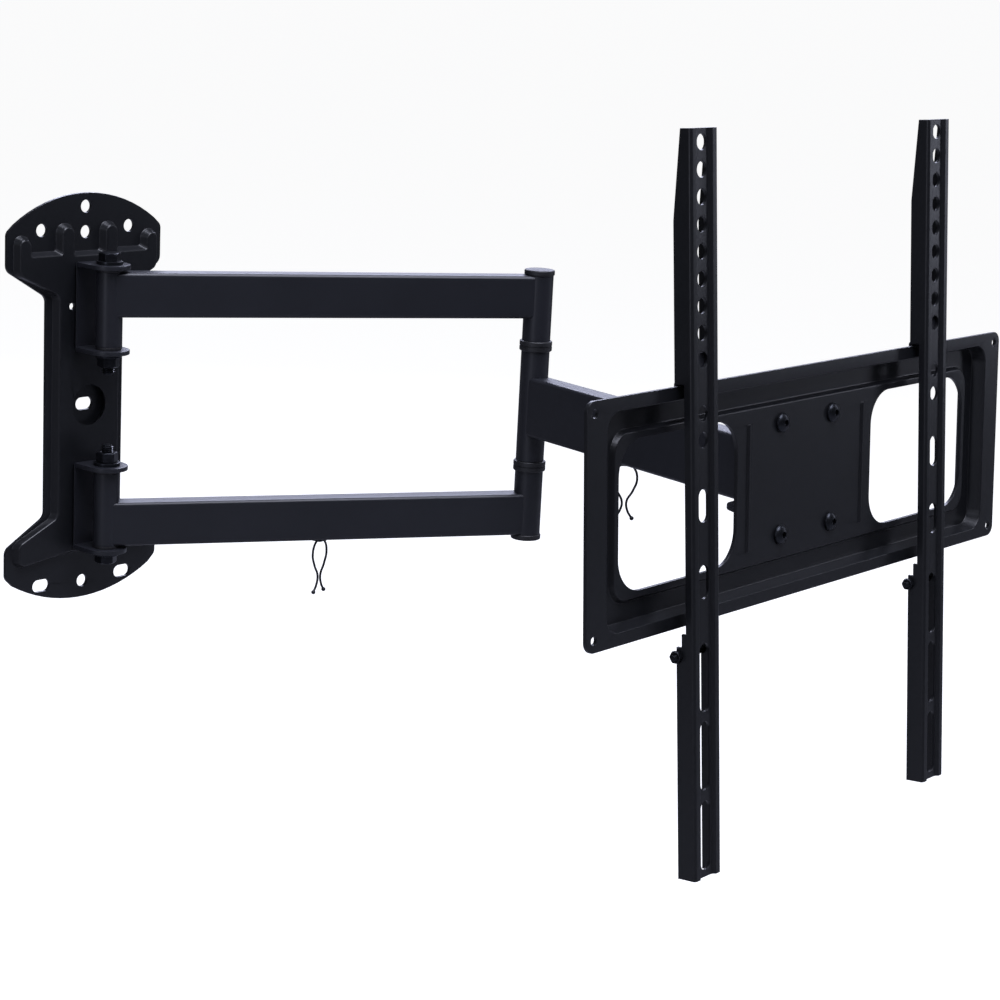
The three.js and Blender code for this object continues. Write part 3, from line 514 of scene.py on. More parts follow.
def thread(radius, pitch, low, high):
    """A rolled thread along Z: a round core, and a ridge wound round it with its ends closed."""
    start()
    root = radius - 0.6 * pitch
    bpy.ops.mesh.primitive_circle_add(vertices=4, radius=1)
    ridge = bpy.context.object
    corners = [(root - 0.05, -0.46), (radius, -0.08), (radius, 0.08), (root - 0.05, 0.46)]
    for vertex, (r, share) in zip(ridge.data.vertices, corners):
        vertex.co = Vector((r, 0, low + (0.5 + share) * pitch)) * MM
    turns = max(1, int((high - low) / pitch) - 1)
    modify(ridge, "SCREW", angle=2 * pi, screw_offset=pitch * MM, iterations=turns, steps=28, render_steps=28,
           use_smooth_shade=False)
    choose(ridge, "EDGE")
    bpy.ops.mesh.fill_holes(sides=4)
    face_out(ridge)
    core = soften(bar(root, low, high - 0.2, sides=40), 0.35)
    return joined([ridge, core])


def hex_bolt(radius, flats, head, length, threaded, pitch=1.25):
    """A bolt with its head standing on z = 0 and its shank below, threaded over its last stretch."""
    crown = soften(hexagon(flats, 0, head, (False, True)), 0.15, 1)
    shank = bar(radius, threaded - length, 0.4, sides=40)
    return joined([crown, shank, thread(radius, pitch, -length, threaded - length + 0.4)])


def hex_nut(radius, flats, height):
    """A nut hung below z = 0, chamfered on both sides, its bore countersunk."""
    nut = hexagon(flats, -height, 0)
    sink = turned([(0, -height - 1), (radius + 1.4, -height - 1), (radius, -height + 0.5), (radius, -0.5),
                   (radius + 1.4, 1), (0, 1)], 40)
    return soften(boolean(nut, [sink]), 0.12, 1)


def washer(inner, outer, low, high):
    ring = turned([(inner, low), (outer, low), (outer, high), (inner, high)])
    return soften(ring, 0.35)


# Black oxide on cold-formed steel: a dark, slightly blue skin that keeps the sheen of the oiled metal, with
# faint smears and finer scratches where it was tumbled.
oxide, tree, shader = new_material("oiled black oxide steel", Metallic=0.85, Specular_IOR_Level=0.5)
place = add(tree, "ShaderNodeTexCoord").outputs["Object"]
smear = add(tree, "ShaderNodeTexNoise", {"Vector": place}, Scale=1 / (3 * MM), Detail=4.0)
tumble = add(tree, "ShaderNodeTexNoise", {"Vector": place}, Scale=1 / (0.5 * MM), Detail=2.0)
tint = add(tree, "ShaderNodeMixRGB", {"Fac": smear.outputs["Fac"]},
           Color1=colour("#1c1d20"), Color2=colour("#34363b"))
sheen = add(tree, "ShaderNodeMapRange", {"Value": smear.outputs["Fac"]}, To_Min=0.22, To_Max=0.42)
bump = add(tree, "ShaderNodeBump", {"Height": tumble.outputs["Fac"]}, Strength=0.25, Distance=0.04 * MM)
tree.links.new(tint.outputs[0], shader.inputs["Base Color"])
tree.links.new(sheen.outputs[0], shader.inputs["Roughness"])
tree.links.new(bump.outputs[0], shader.inputs["Normal"])


def fit_hardware(obj, name, body, node, matrix):
    """Sets a bolt, nut or washer in its place on the mount."""
    apply_place(obj, matrix)
    hand_over(obj, name, body, [node], oxide)


HEAD_SEAT = TAB_OUTER + WASHER_SHEET
NUT_SEAT = TAB_INNER - WASHER_SHEET
axis_at = Matrix.Translation(Vector((0, -PIVOT_OUT, 0)) * MM)
flip = Matrix.Rotation(pi, 4, "Y")
bolt_length = HEAD_SEAT - NUT_SEAT + NUT_HEIGHT + THREAD_PAST
bolt = hex_bolt(PIVOT_RADIUS, HEX_FLATS, HEAD_HEIGHT, bolt_length, NUT_HEIGHT + THREAD_PAST + 3)
nut = hex_nut(PIVOT_RADIUS, HEX_FLATS, NUT_HEIGHT)
big_washer = washer(PIVOT_RADIUS + RUNNING, WASHER_RADIUS, 0, WASHER_SHEET)
for side, turn in (("upper", Matrix()), ("lower", flip)):
    for piece, what, z in ((bolt, "pivot_bolt", HEAD_SEAT), (nut, "pivot_nut", NUT_SEAT),
                           (big_washer, "pivot_head_washer", TAB_OUTER),
                           (big_washer, "pivot_nut_washer", NUT_SEAT)):
        seat = axis_at @ turn @ Matrix.Translation((0, 0, z * MM))
        fit_hardware(copy_of(piece), f"{side}_m8_{what}", "wall_bracket", f"{side}_{what}", seat)

# ---- Long arm ----
# Two square steel tubes, one over the other. Each is coped and welded to a round knuckle at the wall and to a
# round post at the elbow, so that the short arm can fold away between them.
TUBE_WIDTH, TUBE_HEIGHT, TUBE_TOP = 16.5, 30, 93
TUBE_WALL, TUBE_CORNER = 1.6, 2.5
KNUCKLE_RADIUS = 8.8
KNUCKLE_LOW = 43
POST_RADIUS, POST_WALL = 10, 1.8
COLLAR_TOP = 46.8
CAP_RADIUS, CAP_HEIGHT = 10.7, 3.6

joints = {j["name"]: j for j in frame["joints"]}
wall_pivot = Vector(joints["wall_swing"]["pos_m"])
elbow = Vector(joints["elbow_swing"]["pos_m"])
swivel = Vector(joints["screen_swivel"]["pos_m"])
tilt_axis = Vector(joints["screen_tilt"]["pos_m"])


def facing(a, b):
    """An arm's own frame: its origin at a, its X towards b."""
    return Matrix.Translation(a) @ Matrix.Rotation(atan2(b.y - a.y, b.x - a.x), 4, "Z")


long_frame, long_length = facing(wall_pivot, elbow), (elbow - wall_pivot).length / MM
short_frame, short_length = facing(elbow, swivel), (swivel - elbow).length / MM


def square_tube(width, low, high, near, far):
    """A square tube along X, its corners rolled round and its ends open."""
    tube = block((near, -width / 2, low), (far, width / 2, high))
    round_edges(tube, TUBE_CORNER, lambda middle, edge: abs(edge.verts[0].co.x - edge.verts[1].co.x) > MM, 6)
    choose(tube, "FACE", lambda middle, face: abs(face.normal.x) > 0.9)
    bpy.ops.mesh.delete(type="FACE")
    face_out(tube)
    modify(tube, "SOLIDIFY", thickness=TUBE_WALL * MM, offset=-1, use_even_offset=True)
    return tube


tube = square_tube(TUBE_WIDTH, TUBE_TOP - TUBE_HEIGHT, TUBE_TOP, 0, long_length)
boolean(tube, [bar(KNUCKLE_RADIUS - 0.2, 0, 150), bar(POST_RADIUS - 0.2, 0, 150, at=(long_length, 0))])
soften(tube, 0.25)
knuckle = soften(turned([(6.3, KNUCKLE_LOW), (KNUCKLE_RADIUS, KNUCKLE_LOW), (KNUCKLE_RADIUS, TUBE_TOP),
                         (6.3, TUBE_TOP)], 96), 0.3)
inner = POST_RADIUS - POST_WALL
post = soften(turned([(inner, COLLAR_TOP), (POST_RADIUS, COLLAR_TOP), (POST_RADIUS, TUBE_TOP),
                      (inner, TUBE_TOP),
                      (inner, 82), (5.3, 82), (5.3, 78), (inner, 78)], 96), 0.3)
at_elbow = Matrix.Translation((long_length * MM, 0, 0))
flip_arm = Matrix.Rotation(pi, 4, "X")
for side, turn in (("upper", Matrix()), ("lower", flip_arm)):
    for piece, name, node, at in ((tube, "square_tube", "arm_tube", Matrix()),
                                  (knuckle, "round_knuckle", "wall_knuckle", Matrix()),
                                  (post, "round_post", "elbow_post", at_elbow)):
        hand_over(copy_of(piece, long_frame @ turn @ at), f"{side}_{name}", "long_arm", [f"{side}_{node}"],
                  tube_paint)

# ---- Bushes, caps and collars ----
# Moulded black nylon: flanged bushes in the wall knuckles, caps pressed into the ends of the elbow posts, and
# thick collars that carry the short arm's post between the long arm's.
nylon, tree, shader = new_material("moulded black nylon", IOR=1.53, Specular_IOR_Level=0.45)
place = add(tree, "ShaderNodeTexCoord").outputs["Object"]
grain = add(tree, "ShaderNodeTexNoise", {"Vector": place}, Scale=1 / (0.6 * MM), Detail=3.0)
flow = add(tree, "ShaderNodeTexNoise", {"Vector": place}, Scale=1 / (9 * MM), Detail=2.0)
tint = add(tree, "ShaderNodeMixRGB", {"Fac": flow.outputs["Fac"]},
           Color1=colour("#121214"), Color2=colour("#1d1d20"))
sheen = add(tree, "ShaderNodeMapRange", {"Value": flow.outputs["Fac"]}, To_Min=0.42, To_Max=0.58)
bump = add(tree, "ShaderNodeBump", {"Height": grain.outputs["Fac"]}, Strength=0.3, Distance=0.05 * MM)
tree.links.new(tint.outputs[0], shader.inputs["Base Color"])
tree.links.new(sheen.outputs[0], shader.inputs["Roughness"])
tree.links.new(bump.outputs[0], shader.inputs["Normal"])

COLLAR_RADIUS = 11.5
MIDDLE_POST_HALF = 39.5
BUSH_LENGTH = 12


def flanged_bush(bore, outer, flange, thickness, length):
    """A bush below z = 0 with its flange standing on it."""
    bush = turned([(bore, -length), (outer, -length), (outer, 0), (flange, 0), (flange, thickness),
                   (bore, thickness)])
    return soften(bush, 0.4)


bush = flanged_bush(PIVOT_RADIUS + RUNNING, 6, KNUCKLE_RADIUS, 2, BUSH_LENGTH)
cap = soften(turned([(0, -3), (7.9, -3), (7.9, 0), (CAP_RADIUS, 0), (CAP_RADIUS, CAP_HEIGHT + 0.3),
                     (0, CAP_HEIGHT + 0.3)]), 0.9, 4)
collar = soften(turned([(5.3, -BUSH_LENGTH), (7.9, -BUSH_LENGTH), (7.9, 0), (COLLAR_RADIUS, 0),
                        (COLLAR_RADIUS, COLLAR_TOP - MIDDLE_POST_HALF), (5.3,
                                                                         COLLAR_TOP - MIDDLE_POST_HALF)]),
                0.9, 4)
ring = turned([(COLLAR_RADIUS - 0.5, 3.2), (COLLAR_RADIUS + 1, 3.2), (COLLAR_RADIUS + 1, 4.1),
               (COLLAR_RADIUS - 0.5, 4.1)])
boolean(collar, [ring])
for side, turn in (("upper", Matrix()), ("lower", flip_arm)):
    for piece, name, node, at in (
            (bush, "outer_nylon_bush", "knuckle_outer_bush", Matrix.Translation((0, 0, TUBE_TOP * MM))),
            (bush, "inner_nylon_bush", "knuckle_inner_bush",
             Matrix.Translation((0, 0, KNUCKLE_LOW * MM)) @ flip_arm),
            (cap, "post_cap", "elbow_cap", at_elbow @ Matrix.Translation((0, 0, TUBE_TOP * MM)))):
        hand_over(copy_of(piece, long_frame @ turn @ at), f"{side}_{name}", "long_arm", [f"{side}_{node}"],
                  nylon)
    at = Matrix.Translation((0, 0, MIDDLE_POST_HALF * MM))
    hand_over(copy_of(collar, short_frame @ turn @ at), f"{side}_nylon_collar", "short_arm",
              [f"elbow_{side}_collar"], nylon)

# ---- Short arm ----
# One deeper square tube, coped and welded to the round post that turns between the long arm's posts. Its far
# end is sawn square and drilled for the swivel bolt, with a flanged nylon bush in each side.
SHORT_WIDTH, SHORT_HEIGHT = 17, 42
TUBE_OVERHANG = 11

middle_post = soften(turned([(inner, -MIDDLE_POST_HALF), (POST_RADIUS, -MIDDLE_POST_HALF),
                             (POST_RADIUS, MIDDLE_POST_HALF), (inner, MIDDLE_POST_HALF)], 96), 0.3)
apply_place(middle_post, short_frame)
hand_over(middle_post, "middle_round_post", "short_arm", ["elbow_middle_post"], tube_paint)
short_tube = square_tube(SHORT_WIDTH, -SHORT_HEIGHT / 2, SHORT_HEIGHT / 2, 0, short_length + TUBE_OVERHANG)
boolean(short_tube, [bar(POST_RADIUS - 0.2, -60, 60), bar(6.3, -60, 60, at=(short_length, 0), sides=48)])
soften(short_tube, 0.25)
apply_place(short_tube, short_frame)
hand_over(short_tube, "short_square_tube", "short_arm", ["short_arm_tube"], tube_paint)
swivel_bush = flanged_bush(PIVOT_RADIUS + RUNNING, 6, SHORT_WIDTH / 2 + 1, 2, 8)
for side, turn in (("upper", Matrix()), ("lower", flip_arm)):
    at = Matrix.Translation((short_length * MM, 0, SHORT_HEIGHT / 2 * MM))
    hand_over(copy_of(swivel_bush, short_frame @ turn @ at), f"swivel_{side}_nylon_bush", "short_arm",
              [f"swivel_{side}_bush"], nylon)

# ---- Cable clips ----
# Spring steel wire bent to a tulip, its ends balled for the fingers and its root pressed into a small pad
# that is glued under each arm. The wire has a thin black coat, smoother than the powder on the tubes.
coated_wire, tree, shader = new_material("black coated spring wire", Metallic=0.6, Specular_IOR_Level=0.5)
place = add(tree, "ShaderNodeTexCoord").outputs["Object"]
draw = add(tree, "ShaderNodeTexNoise", {"Vector": place}, Scale=1 / (1.2 * MM), Detail=3.0)
tint = add(tree, "ShaderNodeMixRGB", {"Fac": draw.outputs["Fac"]},
           Color1=colour("#17181b"), Color2=colour("#2a2b30"))
sheen = add(tree, "ShaderNodeMapRange", {"Value": draw.outputs["Fac"]}, To_Min=0.28, To_Max=0.42)
bump = add(tree, "ShaderNodeBump", {"Height": draw.outputs["Fac"]}, Strength=0.2, Distance=0.03 * MM)
tree.links.new(tint.outputs[0], shader.inputs["Base Color"])
tree.links.new(sheen.outputs[0], shader.inputs["Roughness"])
tree.links.new(bump.outputs[0], shader.inputs["Normal"])

WIRE_RADIUS = 0.8
BALL_RADIUS = 1.5
WIRE_ROUTE = [(2.2, 0.9), (5.1, 2.6), (7.9, 10.6), (5.4, 19), (1.6, 26.6), (2.6, 33), (5.8, 38)]
CLIPS = {"long_arm": (149.5, -51), "short_arm": (106, -38)}


def clip_wire(side):
    """One wire of a clip: a smooth curve through its route, with a ball at its end."""
    start()
    curve = bpy.data.curves.new("clip_wire", "CURVE")
    curve.dimensions = "3D"
    curve.bevel_depth = WIRE_RADIUS * MM
    curve.bevel_resolution = 4
    curve.use_fill_caps = True
    spline = curve.splines.new("BEZIER")
    spline.resolution_u = 10
    spline.bezier_points.add(len(WIRE_ROUTE) - 1)
    for knot, (out, down) in zip(spline.bezier_points, WIRE_ROUTE):
        knot.co = Vector((0, side * out, -down)) * MM
        knot.handle_left_type = knot.handle_right_type = "AUTO"
    wire = bpy.data.objects.new("clip_wire", curve)
    bpy.context.scene.collection.objects.link(wire)
    make_active(wire)
    bpy.ops.object.convert(target="MESH")
    wire = bpy.context.object
    out, down = WIRE_ROUTE[-1]
    bpy.ops.mesh.primitive_uv_sphere_add(segments=24, ring_count=14, radius=BALL_RADIUS * MM,
                                         location=(0, side * out * MM, -down * MM))
    ball = apply_place(bpy.context.object)
    return [wire, ball]


pad = soften(cut_piece([(4, -5.5, 1.5), (4, 5.5, 1.5), (-4, 5.5, 1.5), (-4, -5.5, 1.5)], "Z", -1.4, 0), 0.3)
clip = joined([pad] + clip_wire(1) + clip_wire(-1))
for arm, arm_frame, height in (("long_arm", long_frame, -TUBE_TOP),
                               ("short_arm", short_frame, -SHORT_HEIGHT / 2)):
    along, turn = CLIPS[arm]
    at = Matrix.Translation(Vector((along, 0, height)) * MM) @ Matrix.Rotation(radians(turn), 4, "Z")
    hand_over(copy_of(clip, arm_frame @ at), f"{arm}_tulip_clip", arm, [f"{arm}_cable_clip"], coated_wire,
              50)

# ---- Swivel yoke ----
# 3 mm steel, cut and bent: two round ears that take the swivel bolt above and below the short arm's end, a
# web, and two cheeks that take the tilt bolts. Painted like the tubes.
EAR_INNER, EAR_SHEET = 23, 3
EAR_OUTER = EAR_INNER + EAR_SHEET
EAR_RADIUS = 13
WEB_OUT = 15
YOKE_HALF = 24
TILT_OUT = 25
CHEEK_RADIUS = 8
TILT_RADIUS = 3
SCREEN_TURN = radians(2.3)
head_turn = Matrix.Rotation(SCREEN_TURN, 4, "Z")
swivel_frame = Matrix.Translation(swivel) @ head_turn


def cheek(radius, root_half, root_out, low, high, at=TILT_OUT):
    """A side cheek across X: wide at its root, with a round end about the tilt axis."""
    away = 1 if root_out < at else -1
    tip = at + away * radius
    corners = [(-root_out, -root_half, 0), (-tip, -radius, radius - 0.05), (-tip, radius, radius - 0.05),
               (-root_out, root_half, 0)]
    return cut_piece(corners, "X", low, high, 14)


ear = [(EAR_RADIUS, EAR_RADIUS, EAR_RADIUS - 0.05), (-EAR_RADIUS, EAR_RADIUS, EAR_RADIUS - 0.05),
       (-YOKE_HALF, -12, 3), (-YOKE_HALF, -WEB_OUT - EAR_SHEET, 0), (YOKE_HALF, -WEB_OUT - EAR_SHEET, 0),
       (YOKE_HALF, -12, 3)]
yoke = cut_piece(ear, "Z", -EAR_OUTER, EAR_OUTER, 14)
round_edges(yoke, 3, lambda middle, edge: middle.y < -WEB_OUT - EAR_SHEET + 0.1 and abs(middle.x) < 1
            and abs(middle.z) > EAR_OUTER - 0.1, 6)
boolean(yoke, [block((-60, -WEB_OUT, -EAR_INNER), (60, 60, EAR_INNER))])
boolean(yoke, [cheek(CHEEK_RADIUS, 14, WEB_OUT + 0.5, YOKE_HALF - EAR_SHEET, YOKE_HALF),
               cheek(CHEEK_RADIUS, 14, WEB_OUT + 0.5, -YOKE_HALF, EAR_SHEET - YOKE_HALF)], "UNION")
boolean(yoke, [bar(PIVOT_RADIUS + RUNNING, -60, 60, sides=48),
               bar(TILT_RADIUS + RUNNING, -60, 60, "X", (-TILT_OUT, 0), 48)])
soften(yoke, 0.35)
apply_place(yoke, swivel_frame)
hand_over(yoke, "bent_swivel_yoke", "swivel_head", ["swivel_yoke"], tube_paint)

SWIVEL_SEAT = EAR_OUTER + WASHER_SHEET
swivel_bolt = hex_bolt(PIVOT_RADIUS, HEX_FLATS, HEAD_HEIGHT, 2 * SWIVEL_SEAT + NUT_HEIGHT + 3, NUT_HEIGHT + 6)
for piece, what, z in ((swivel_bolt, "swivel_bolt", SWIVEL_SEAT), (copy_of(nut), "swivel_nut", -SWIVEL_SEAT),
                       (copy_of(big_washer), "swivel_upper_washer", EAR_OUTER),
                       (copy_of(big_washer), "swivel_lower_washer", -SWIVEL_SEAT)):
    fit_hardware(piece, f"m8_{what}", "swivel_head", what, swivel_frame @ Matrix.Translation((0, 0, z * MM)))

# ---- Tilt bolts ----
# Two M6 bolts, one on each side, pinch the yoke's cheeks against the tilt bracket's, so that the screen stays
# where it is tipped.
TILT_FLATS = 10
tilt_frame = Matrix.Translation(tilt_axis) @ head_turn
head_place, nut_place = YOKE_HALF + 3.9, YOKE_HALF - EAR_SHEET - 0.05
tilt_bolt = hex_bolt(TILT_RADIUS, TILT_FLATS, 4, head_place - nut_place + 7, 7, 1)
tilt_nut = hex_nut(TILT_RADIUS, TILT_FLATS, 5)
for side, sign in (("left", -1), ("right", 1)):
    turn = Matrix.Rotation(sign * pi / 2, 4, "Y")
    for piece, what, x in ((tilt_bolt, "tilt_bolt", head_place), (tilt_nut, "tilt_nut", nut_place)):
        fit_hardware(copy_of(piece), f"{side}_m6_{what}", "swivel_head", f"{side}_{what}",
                     tilt_frame @ Matrix.Translation((sign * x * MM, 0, 0)) @ turn)

# ---- Tilt bracket ----
# 3 mm steel: a base bolted to the back of the carrier plate and two cheeks outside the yoke's, which turn on
# the tilt bolts.
CARRIER_TILT = radians(3.8)
CARRIER_RISE = 1.9
BRACKET_BASE = 8.7
BOLT_X, BOLT_HIGH, BOLT_LOW = 28.5, 36.6, -33.4
BOLT_RADIUS = 3
tipped = tilt_frame @ Matrix.Rotation(-CARRIER_TILT, 4, "X")
raised = tipped @ Matrix.Translation((0, 0, CARRIER_RISE * MM))
plate_bolts = {"upper_left": (-BOLT_X, BOLT_HIGH), "upper_right": (BOLT_X, BOLT_HIGH),
               "lower_left": (-BOLT_X, BOLT_LOW), "lower_right": (BOLT_X, BOLT_LOW)}

half_x, half_z = 36, 42.5
base = cut_piece([(half_x, CARRIER_RISE - half_z, 4), (half_x, CARRIER_RISE + half_z, 4),
                  (-half_x, CARRIER_RISE + half_z, 4), (-half_x, CARRIER_RISE - half_z, 4)],
                 "Y", -BRACKET_BASE - EAR_SHEET, -BRACKET_BASE)
low, high = YOKE_HALF + 0.6, YOKE_HALF + 0.6 + EAR_SHEET
boolean(base, [cheek(10, 16, BRACKET_BASE + 0.5, a, b, 0) for a, b in ((low, high), (-high, -low))], "UNION")
boolean(base, [bar(TILT_RADIUS + RUNNING, -60, 60, "X", (0, 0), 48)]
        + [bar(BOLT_RADIUS + RUNNING, -30, 0, "Y", (x, z + CARRIER_RISE), 32) for x,
           z in plate_bolts.values()])
soften(base, 0.35)
apply_place(base, tipped)
hand_over(base, "bent_tilt_bracket", "carrier", ["tilt_bracket"], tube_paint)

# ---- Carrier plate ----
# One sheet of 2.5 mm steel, drawn in a press: a deep groove runs all round it for stiffness, two windows
# lighten it, and two beads stiffen the middle where the tilt bracket is bolted.
CARRIER_HALF_X, CARRIER_HALF_Z = 230, 71.25
RIM_OUT = 21
FLOOR_OUT = 14.5
GROOVE_OUT = 11.5
SIDE_EXTRA = 10.5
LEVELS = [(25.5, 9.5, FLOOR_OUT - SHEET), (23.5, 11.5, GROOVE_OUT - SHEET), (7.5, 12, GROOVE_OUT - SHEET),
          (5.5, 14, RIM_OUT - SHEET), (0, 7, RIM_OUT - SHEET), (0, 7, RIM_OUT), (7.8, 11.7, RIM_OUT),
          (10, 9.5, GROOVE_OUT), (21, 14, GROOVE_OUT), (23, 12, FLOOR_OUT)]
WINDOW_NEAR, WINDOW_FAR, WINDOW_HALF_Z, WINDOW_CORNER = 75.5, 192.5, 44.25, 21
BEAD_PLACE, BEAD_HALF = 64, 41.2
CORNER_HOLE_INSET, CORNER_HOLE_RADIUS = 7.2, 2.6


def plate_loop(inset, radius, out):
    """The plate's outline at one depth, inset from its edge, its corners rounded."""
    x, z = CARRIER_HALF_X - inset - (SIDE_EXTRA if inset else 0), CARRIER_HALF_Z - inset
    return flat_outline([(x, -z, radius), (x, z, radius), (-x, z, radius), (-x, -z, radius)], "Y", -out, 10)


strips = [plate_loop(*LEVELS[0]), plate_loop(*LEVELS[-1])]
for level, following in zip(LEVELS, LEVELS[1:]):
    strip = joined([plate_loop(*level), plate_loop(*following)])
    choose(strip, "FACE")
    bpy.ops.mesh.delete(type="ONLY_FACE")
    choose(strip, "EDGE")
    bpy.ops.mesh.bridge_edge_loops()
    start()
    strips.append(strip)
carrier = joined(strips)
face_out(carrier)
round_edges(carrier, 1.3, lambda middle, edge: edge.calc_face_angle(0) > 0.5
            and abs(middle.x) < CARRIER_HALF_X - 8 and abs(middle.z) < CARRIER_HALF_Z - 8, 5)
windows = []
for sign in (-1, 1):
    a, b = sorted((sign * WINDOW_NEAR, sign * WINDOW_FAR))
    windows.append(cut_piece([(b, -WINDOW_HALF_Z, WINDOW_CORNER), (b, WINDOW_HALF_Z, WINDOW_CORNER),
                              (a, WINDOW_HALF_Z, WINDOW_CORNER), (a, -WINDOW_HALF_Z, WINDOW_CORNER)],
                             "Y", -40, 10, 12))
drills = [bar(BOLT_RADIUS + RUNNING, -40, 10, "Y", at, 32) for at in plate_bolts.values()]
x, z = CARRIER_HALF_X - CORNER_HOLE_INSET, CARRIER_HALF_Z - CORNER_HOLE_INSET
drills += [bar(CORNER_HOLE_RADIUS, -40, 10, "Y", (a * x, b * z), 32) for a in (-1, 1) for b in (-1, 1)]
boolean(carrier, [joined(windows + drills)])
for sign in (-1, 1):
    bead = bar(2, -BEAD_HALF + 2, BEAD_HALF - 2, "Z", (sign * BEAD_PLACE, -FLOOR_OUT + 0.8), 32)
    round_edges(bead, 1.6, lambda middle, edge: abs(middle.z) > BEAD_HALF - 2.1, 5)
    boolean(carrier, [bead], "UNION")
soften(carrier, 0.35, 2, 40)
apply_place(carrier, raised)
hand_over(carrier, "drawn_carrier_plate", "carrier", ["carrier_plate"], sheet_paint,
          40)

# ---- Plate bolts ----
# Four M6 button-head bolts with hexagon sockets hold the tilt bracket behind the carrier plate, each with a
# nut at the back.
button = turned([(0, -0.4), (5.9, -0.4), (6.2, 0), (6.2, 0.8), (5.7, 1.7), (4.6, 2.5), (3.2, 3.1), (1.6, 3.3),
                 (0, 3.3)], 48)
boolean(button, [bar(2.3, 1.2, 5, sides=6)])
soften(button, 0.1, 1, 50)
button_bolt = joined([button, thread(BOLT_RADIUS, 1, -12.5, 0)])
plate_nut = hex_nut(BOLT_RADIUS, TILT_FLATS, 4.6)
for corner, (x, z) in plate_bolts.items():
    for piece, what, out in ((button_bolt, "plate_bolt", FLOOR_OUT + 0.4),
                             (plate_nut, "plate_nut", BRACKET_BASE)):
        at = Matrix.Translation(Vector((x, -out, z)) * MM) @ Matrix.Rotation(pi / 2, 4, "X")
        fit_hardware(copy_of(piece), f"{corner}_m6_{what}", "carrier", f"{corner}_{what}", raised @ at)

# ---- Rails ----
# Two pressed channels of 2 mm steel, 440 mm long, with a shallow groove down the face, a row of holes and
# slots for the screen's screws, and flanges cut back where each rail straddles the carrier plate. The foot is
# 0.6 mm short, to stay within the rounded heel of the solid rail.
RAIL_TOP, RAIL_BOTTOM = 217.5, -221.9
RAIL_HALF, RAIL_DEPTH, RAIL_SHEET = 13.2, 12.8, 2
RAIL_LEAN = radians(1.4)
RAIL_PLACES = {"left": -134.3, "right": 126.4}
CHANNEL_HALF, CHANNEL_DEPTH, CHANNEL_DRAFT = 7, 2, 0.7
NOTCH_DEPTH, STEP_DEPTH, STEP_LENGTH = 6, 9, 8
TAPER = 52
HOLE_RADIUS, HOLE_TOP, HOLE_PITCH = 4.6, 209.6, 15.45
HOLE_ROWS = (0, 1, 2, 3, 4, 5, 6, 7, 8, 10, 11)
SLOTS = ((11.2, -8.5), (-33.7, -53.6), (-80, -121.4), (-127.1, -168.9), (-175.3, -217.7))
LOCK_HEIGHT, LOCK_OUT, LOCK_RADIUS = -87, 1, 2

back = RAIL_DEPTH - RAIL_SHEET
section = [(CHANNEL_HALF - CHANNEL_DRAFT, RAIL_DEPTH - CHANNEL_DEPTH, 0.7),
           (CHANNEL_HALF + CHANNEL_DRAFT, RAIL_DEPTH, 0.7), (RAIL_HALF, RAIL_DEPTH, 2), (RAIL_HALF, 0, 0.4),
           (RAIL_HALF - RAIL_SHEET, 0, 0.4), (RAIL_HALF - RAIL_SHEET, back, 0.8), (CHANNEL_HALF + 1.6, back,
                                                                                   0.5),
           (CHANNEL_HALF + 0.2, back - CHANNEL_DEPTH, 0.5)]
section = [(x, -out, r) for x, out, r in section]
rail = cut_piece(section + [(-x, y, r) for x, y, r in reversed(section)], "Z", RAIL_BOTTOM, RAIL_TOP, 5)
notch = block((-20, NOTCH_DEPTH - RAIL_DEPTH, -CARRIER_HALF_Z - 2), (20, 8, CARRIER_HALF_Z + 1.6))
step = block((-20, STEP_DEPTH - RAIL_DEPTH, -CARRIER_HALF_Z - 2 - STEP_LENGTH), (20, 8, -CARRIER_HALF_Z))
taper = block((-20, 0, 0), (20, 20, 2 * TAPER))
slope = Matrix.Rotation(atan2(RAIL_DEPTH * 0.4, TAPER), 4, "X")
apply_place(taper, Matrix.Translation((0, 0, (RAIL_TOP - TAPER) * MM)) @ slope)
holes = [bar(HOLE_RADIUS, -RAIL_DEPTH - 3, -RAIL_DEPTH + 7, "Y", (0, HOLE_TOP - k * HOLE_PITCH), 48)
         for k in HOLE_ROWS]
slots = [slot_tool(0, (a + b) / 2, a - b, HOLE_RADIUS, -RAIL_DEPTH - 3, -RAIL_DEPTH + 7) for a, b in SLOTS]
boolean(rail, [notch, step, taper, joined(holes + slots),
               bar(LOCK_RADIUS + RUNNING, -20, 20, "X", (-LOCK_OUT, LOCK_HEIGHT), 32)])
soften(rail, 0.3, 2, 40)
rail_frames = {side: raised @ Matrix.Translation(Vector((x, -RIM_OUT, 0)) * MM)
               @ Matrix.Rotation(-RAIL_LEAN, 4, "X") for side, x in RAIL_PLACES.items()}
for side, rail_frame in rail_frames.items():
    hand_over(copy_of(rail, rail_frame), f"{side}_pressed_rail", f"{side}_rail_set", [f"{side}_rail"],
              sheet_paint,
              40)

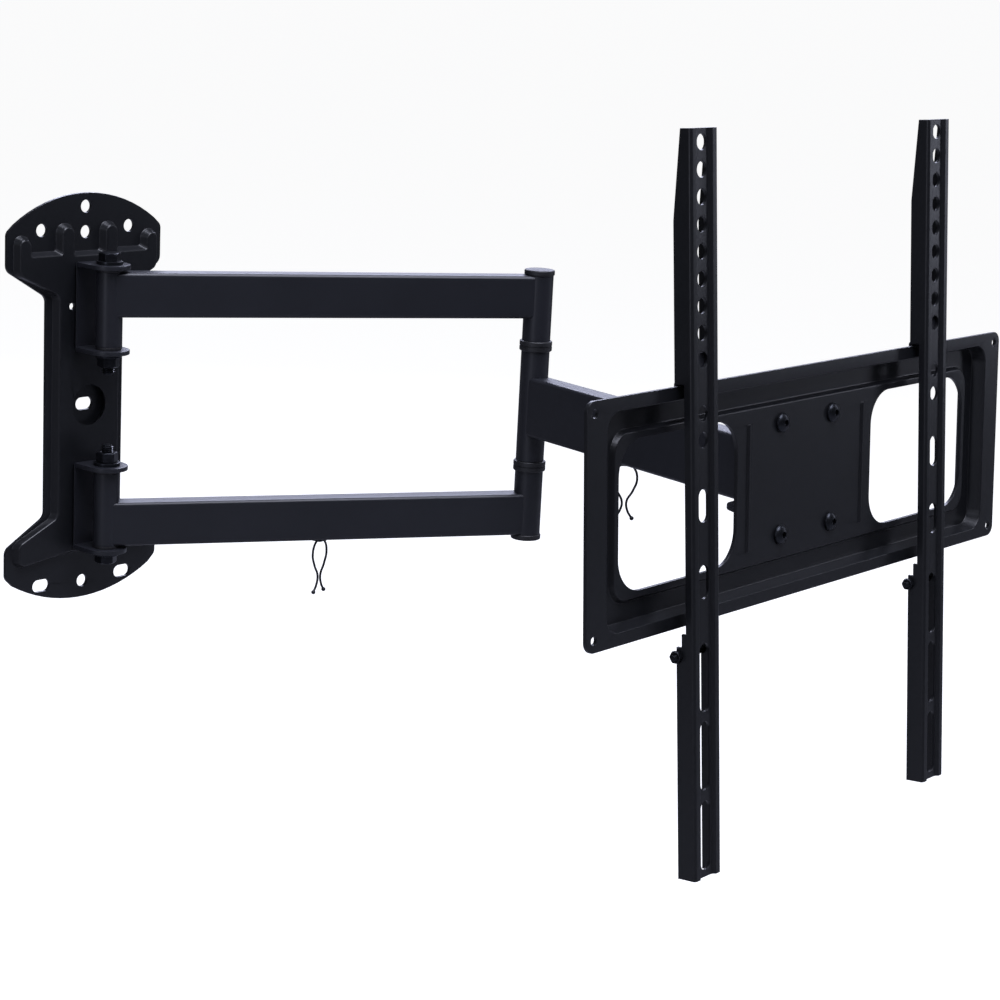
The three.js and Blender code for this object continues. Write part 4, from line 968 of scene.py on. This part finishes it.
# ---- Rail hooks and locks ----
# A bent strip in each rail hooks over the carrier plate's top edge, and a cross screw with a nut under its
# bottom edge keeps the rail from lifting off.
HOOK_SHEET = 2
edge = CARRIER_HALF_Z + 0.6
front = RAIL_DEPTH - RAIL_SHEET - CHANNEL_DEPTH - 0.3
behind = 1.26
hook = cut_piece([(-front, edge + 18, 0.5), (HOOK_SHEET - front, edge + 18, 0.5),
                  (HOOK_SHEET - front, edge + HOOK_SHEET, 0.6), (behind + HOOK_SHEET, edge + HOOK_SHEET, 2),
                  (behind + HOOK_SHEET, edge - 4.5, 0.5), (behind, edge - 4.5, 0.5), (behind, edge, 0.6),
                  (-front, edge, 2)], "X", 4 - RAIL_HALF, RAIL_HALF - 4)
soften(hook, 0.3)
lock_place = RAIL_HALF + 0.05
lock_screw = hex_bolt(LOCK_RADIUS, 7, 2.7, 2 * RAIL_HALF + 5, 16, 0.7)
lock_nut = hex_nut(LOCK_RADIUS, 7, 3.1)
for side, rail_frame in rail_frames.items():
    hand_over(copy_of(hook, rail_frame), f"{side}_bent_hook", f"{side}_rail_set", [f"{side}_rail_hook"],
              tube_paint)
    for piece, what, x in ((lock_screw, "rail_lock_screw", lock_place),
                           (lock_nut, "rail_lock_nut", -lock_place)):
        at = Matrix.Translation(Vector((x, -LOCK_OUT, LOCK_HEIGHT)) * MM) @ Matrix.Rotation(pi / 2, 4, "Y")
        fit_hardware(copy_of(piece), f"{side}_m5_{what}", f"{side}_rail_set", f"{side}_{what}",
                     rail_frame @ at)

# ---- Elbow spindle ----
# The long bolt that runs through all three elbow posts, and its nut, are inside them and out of sight.
for name in ("elbow_spindle", "elbow_spindle_nut"):
    bpy.data.objects[name].data.materials.clear()
    bpy.data.objects[name].data.materials.append(oxide)

for pattern in (bolt, nut, big_washer, tube, knuckle, post, bush, cap, collar, swivel_bush, clip, tilt_bolt,
                tilt_nut, button_bolt, plate_nut, rail, hook, lock_screw, lock_nut):
    bpy.data.objects.remove(pattern)
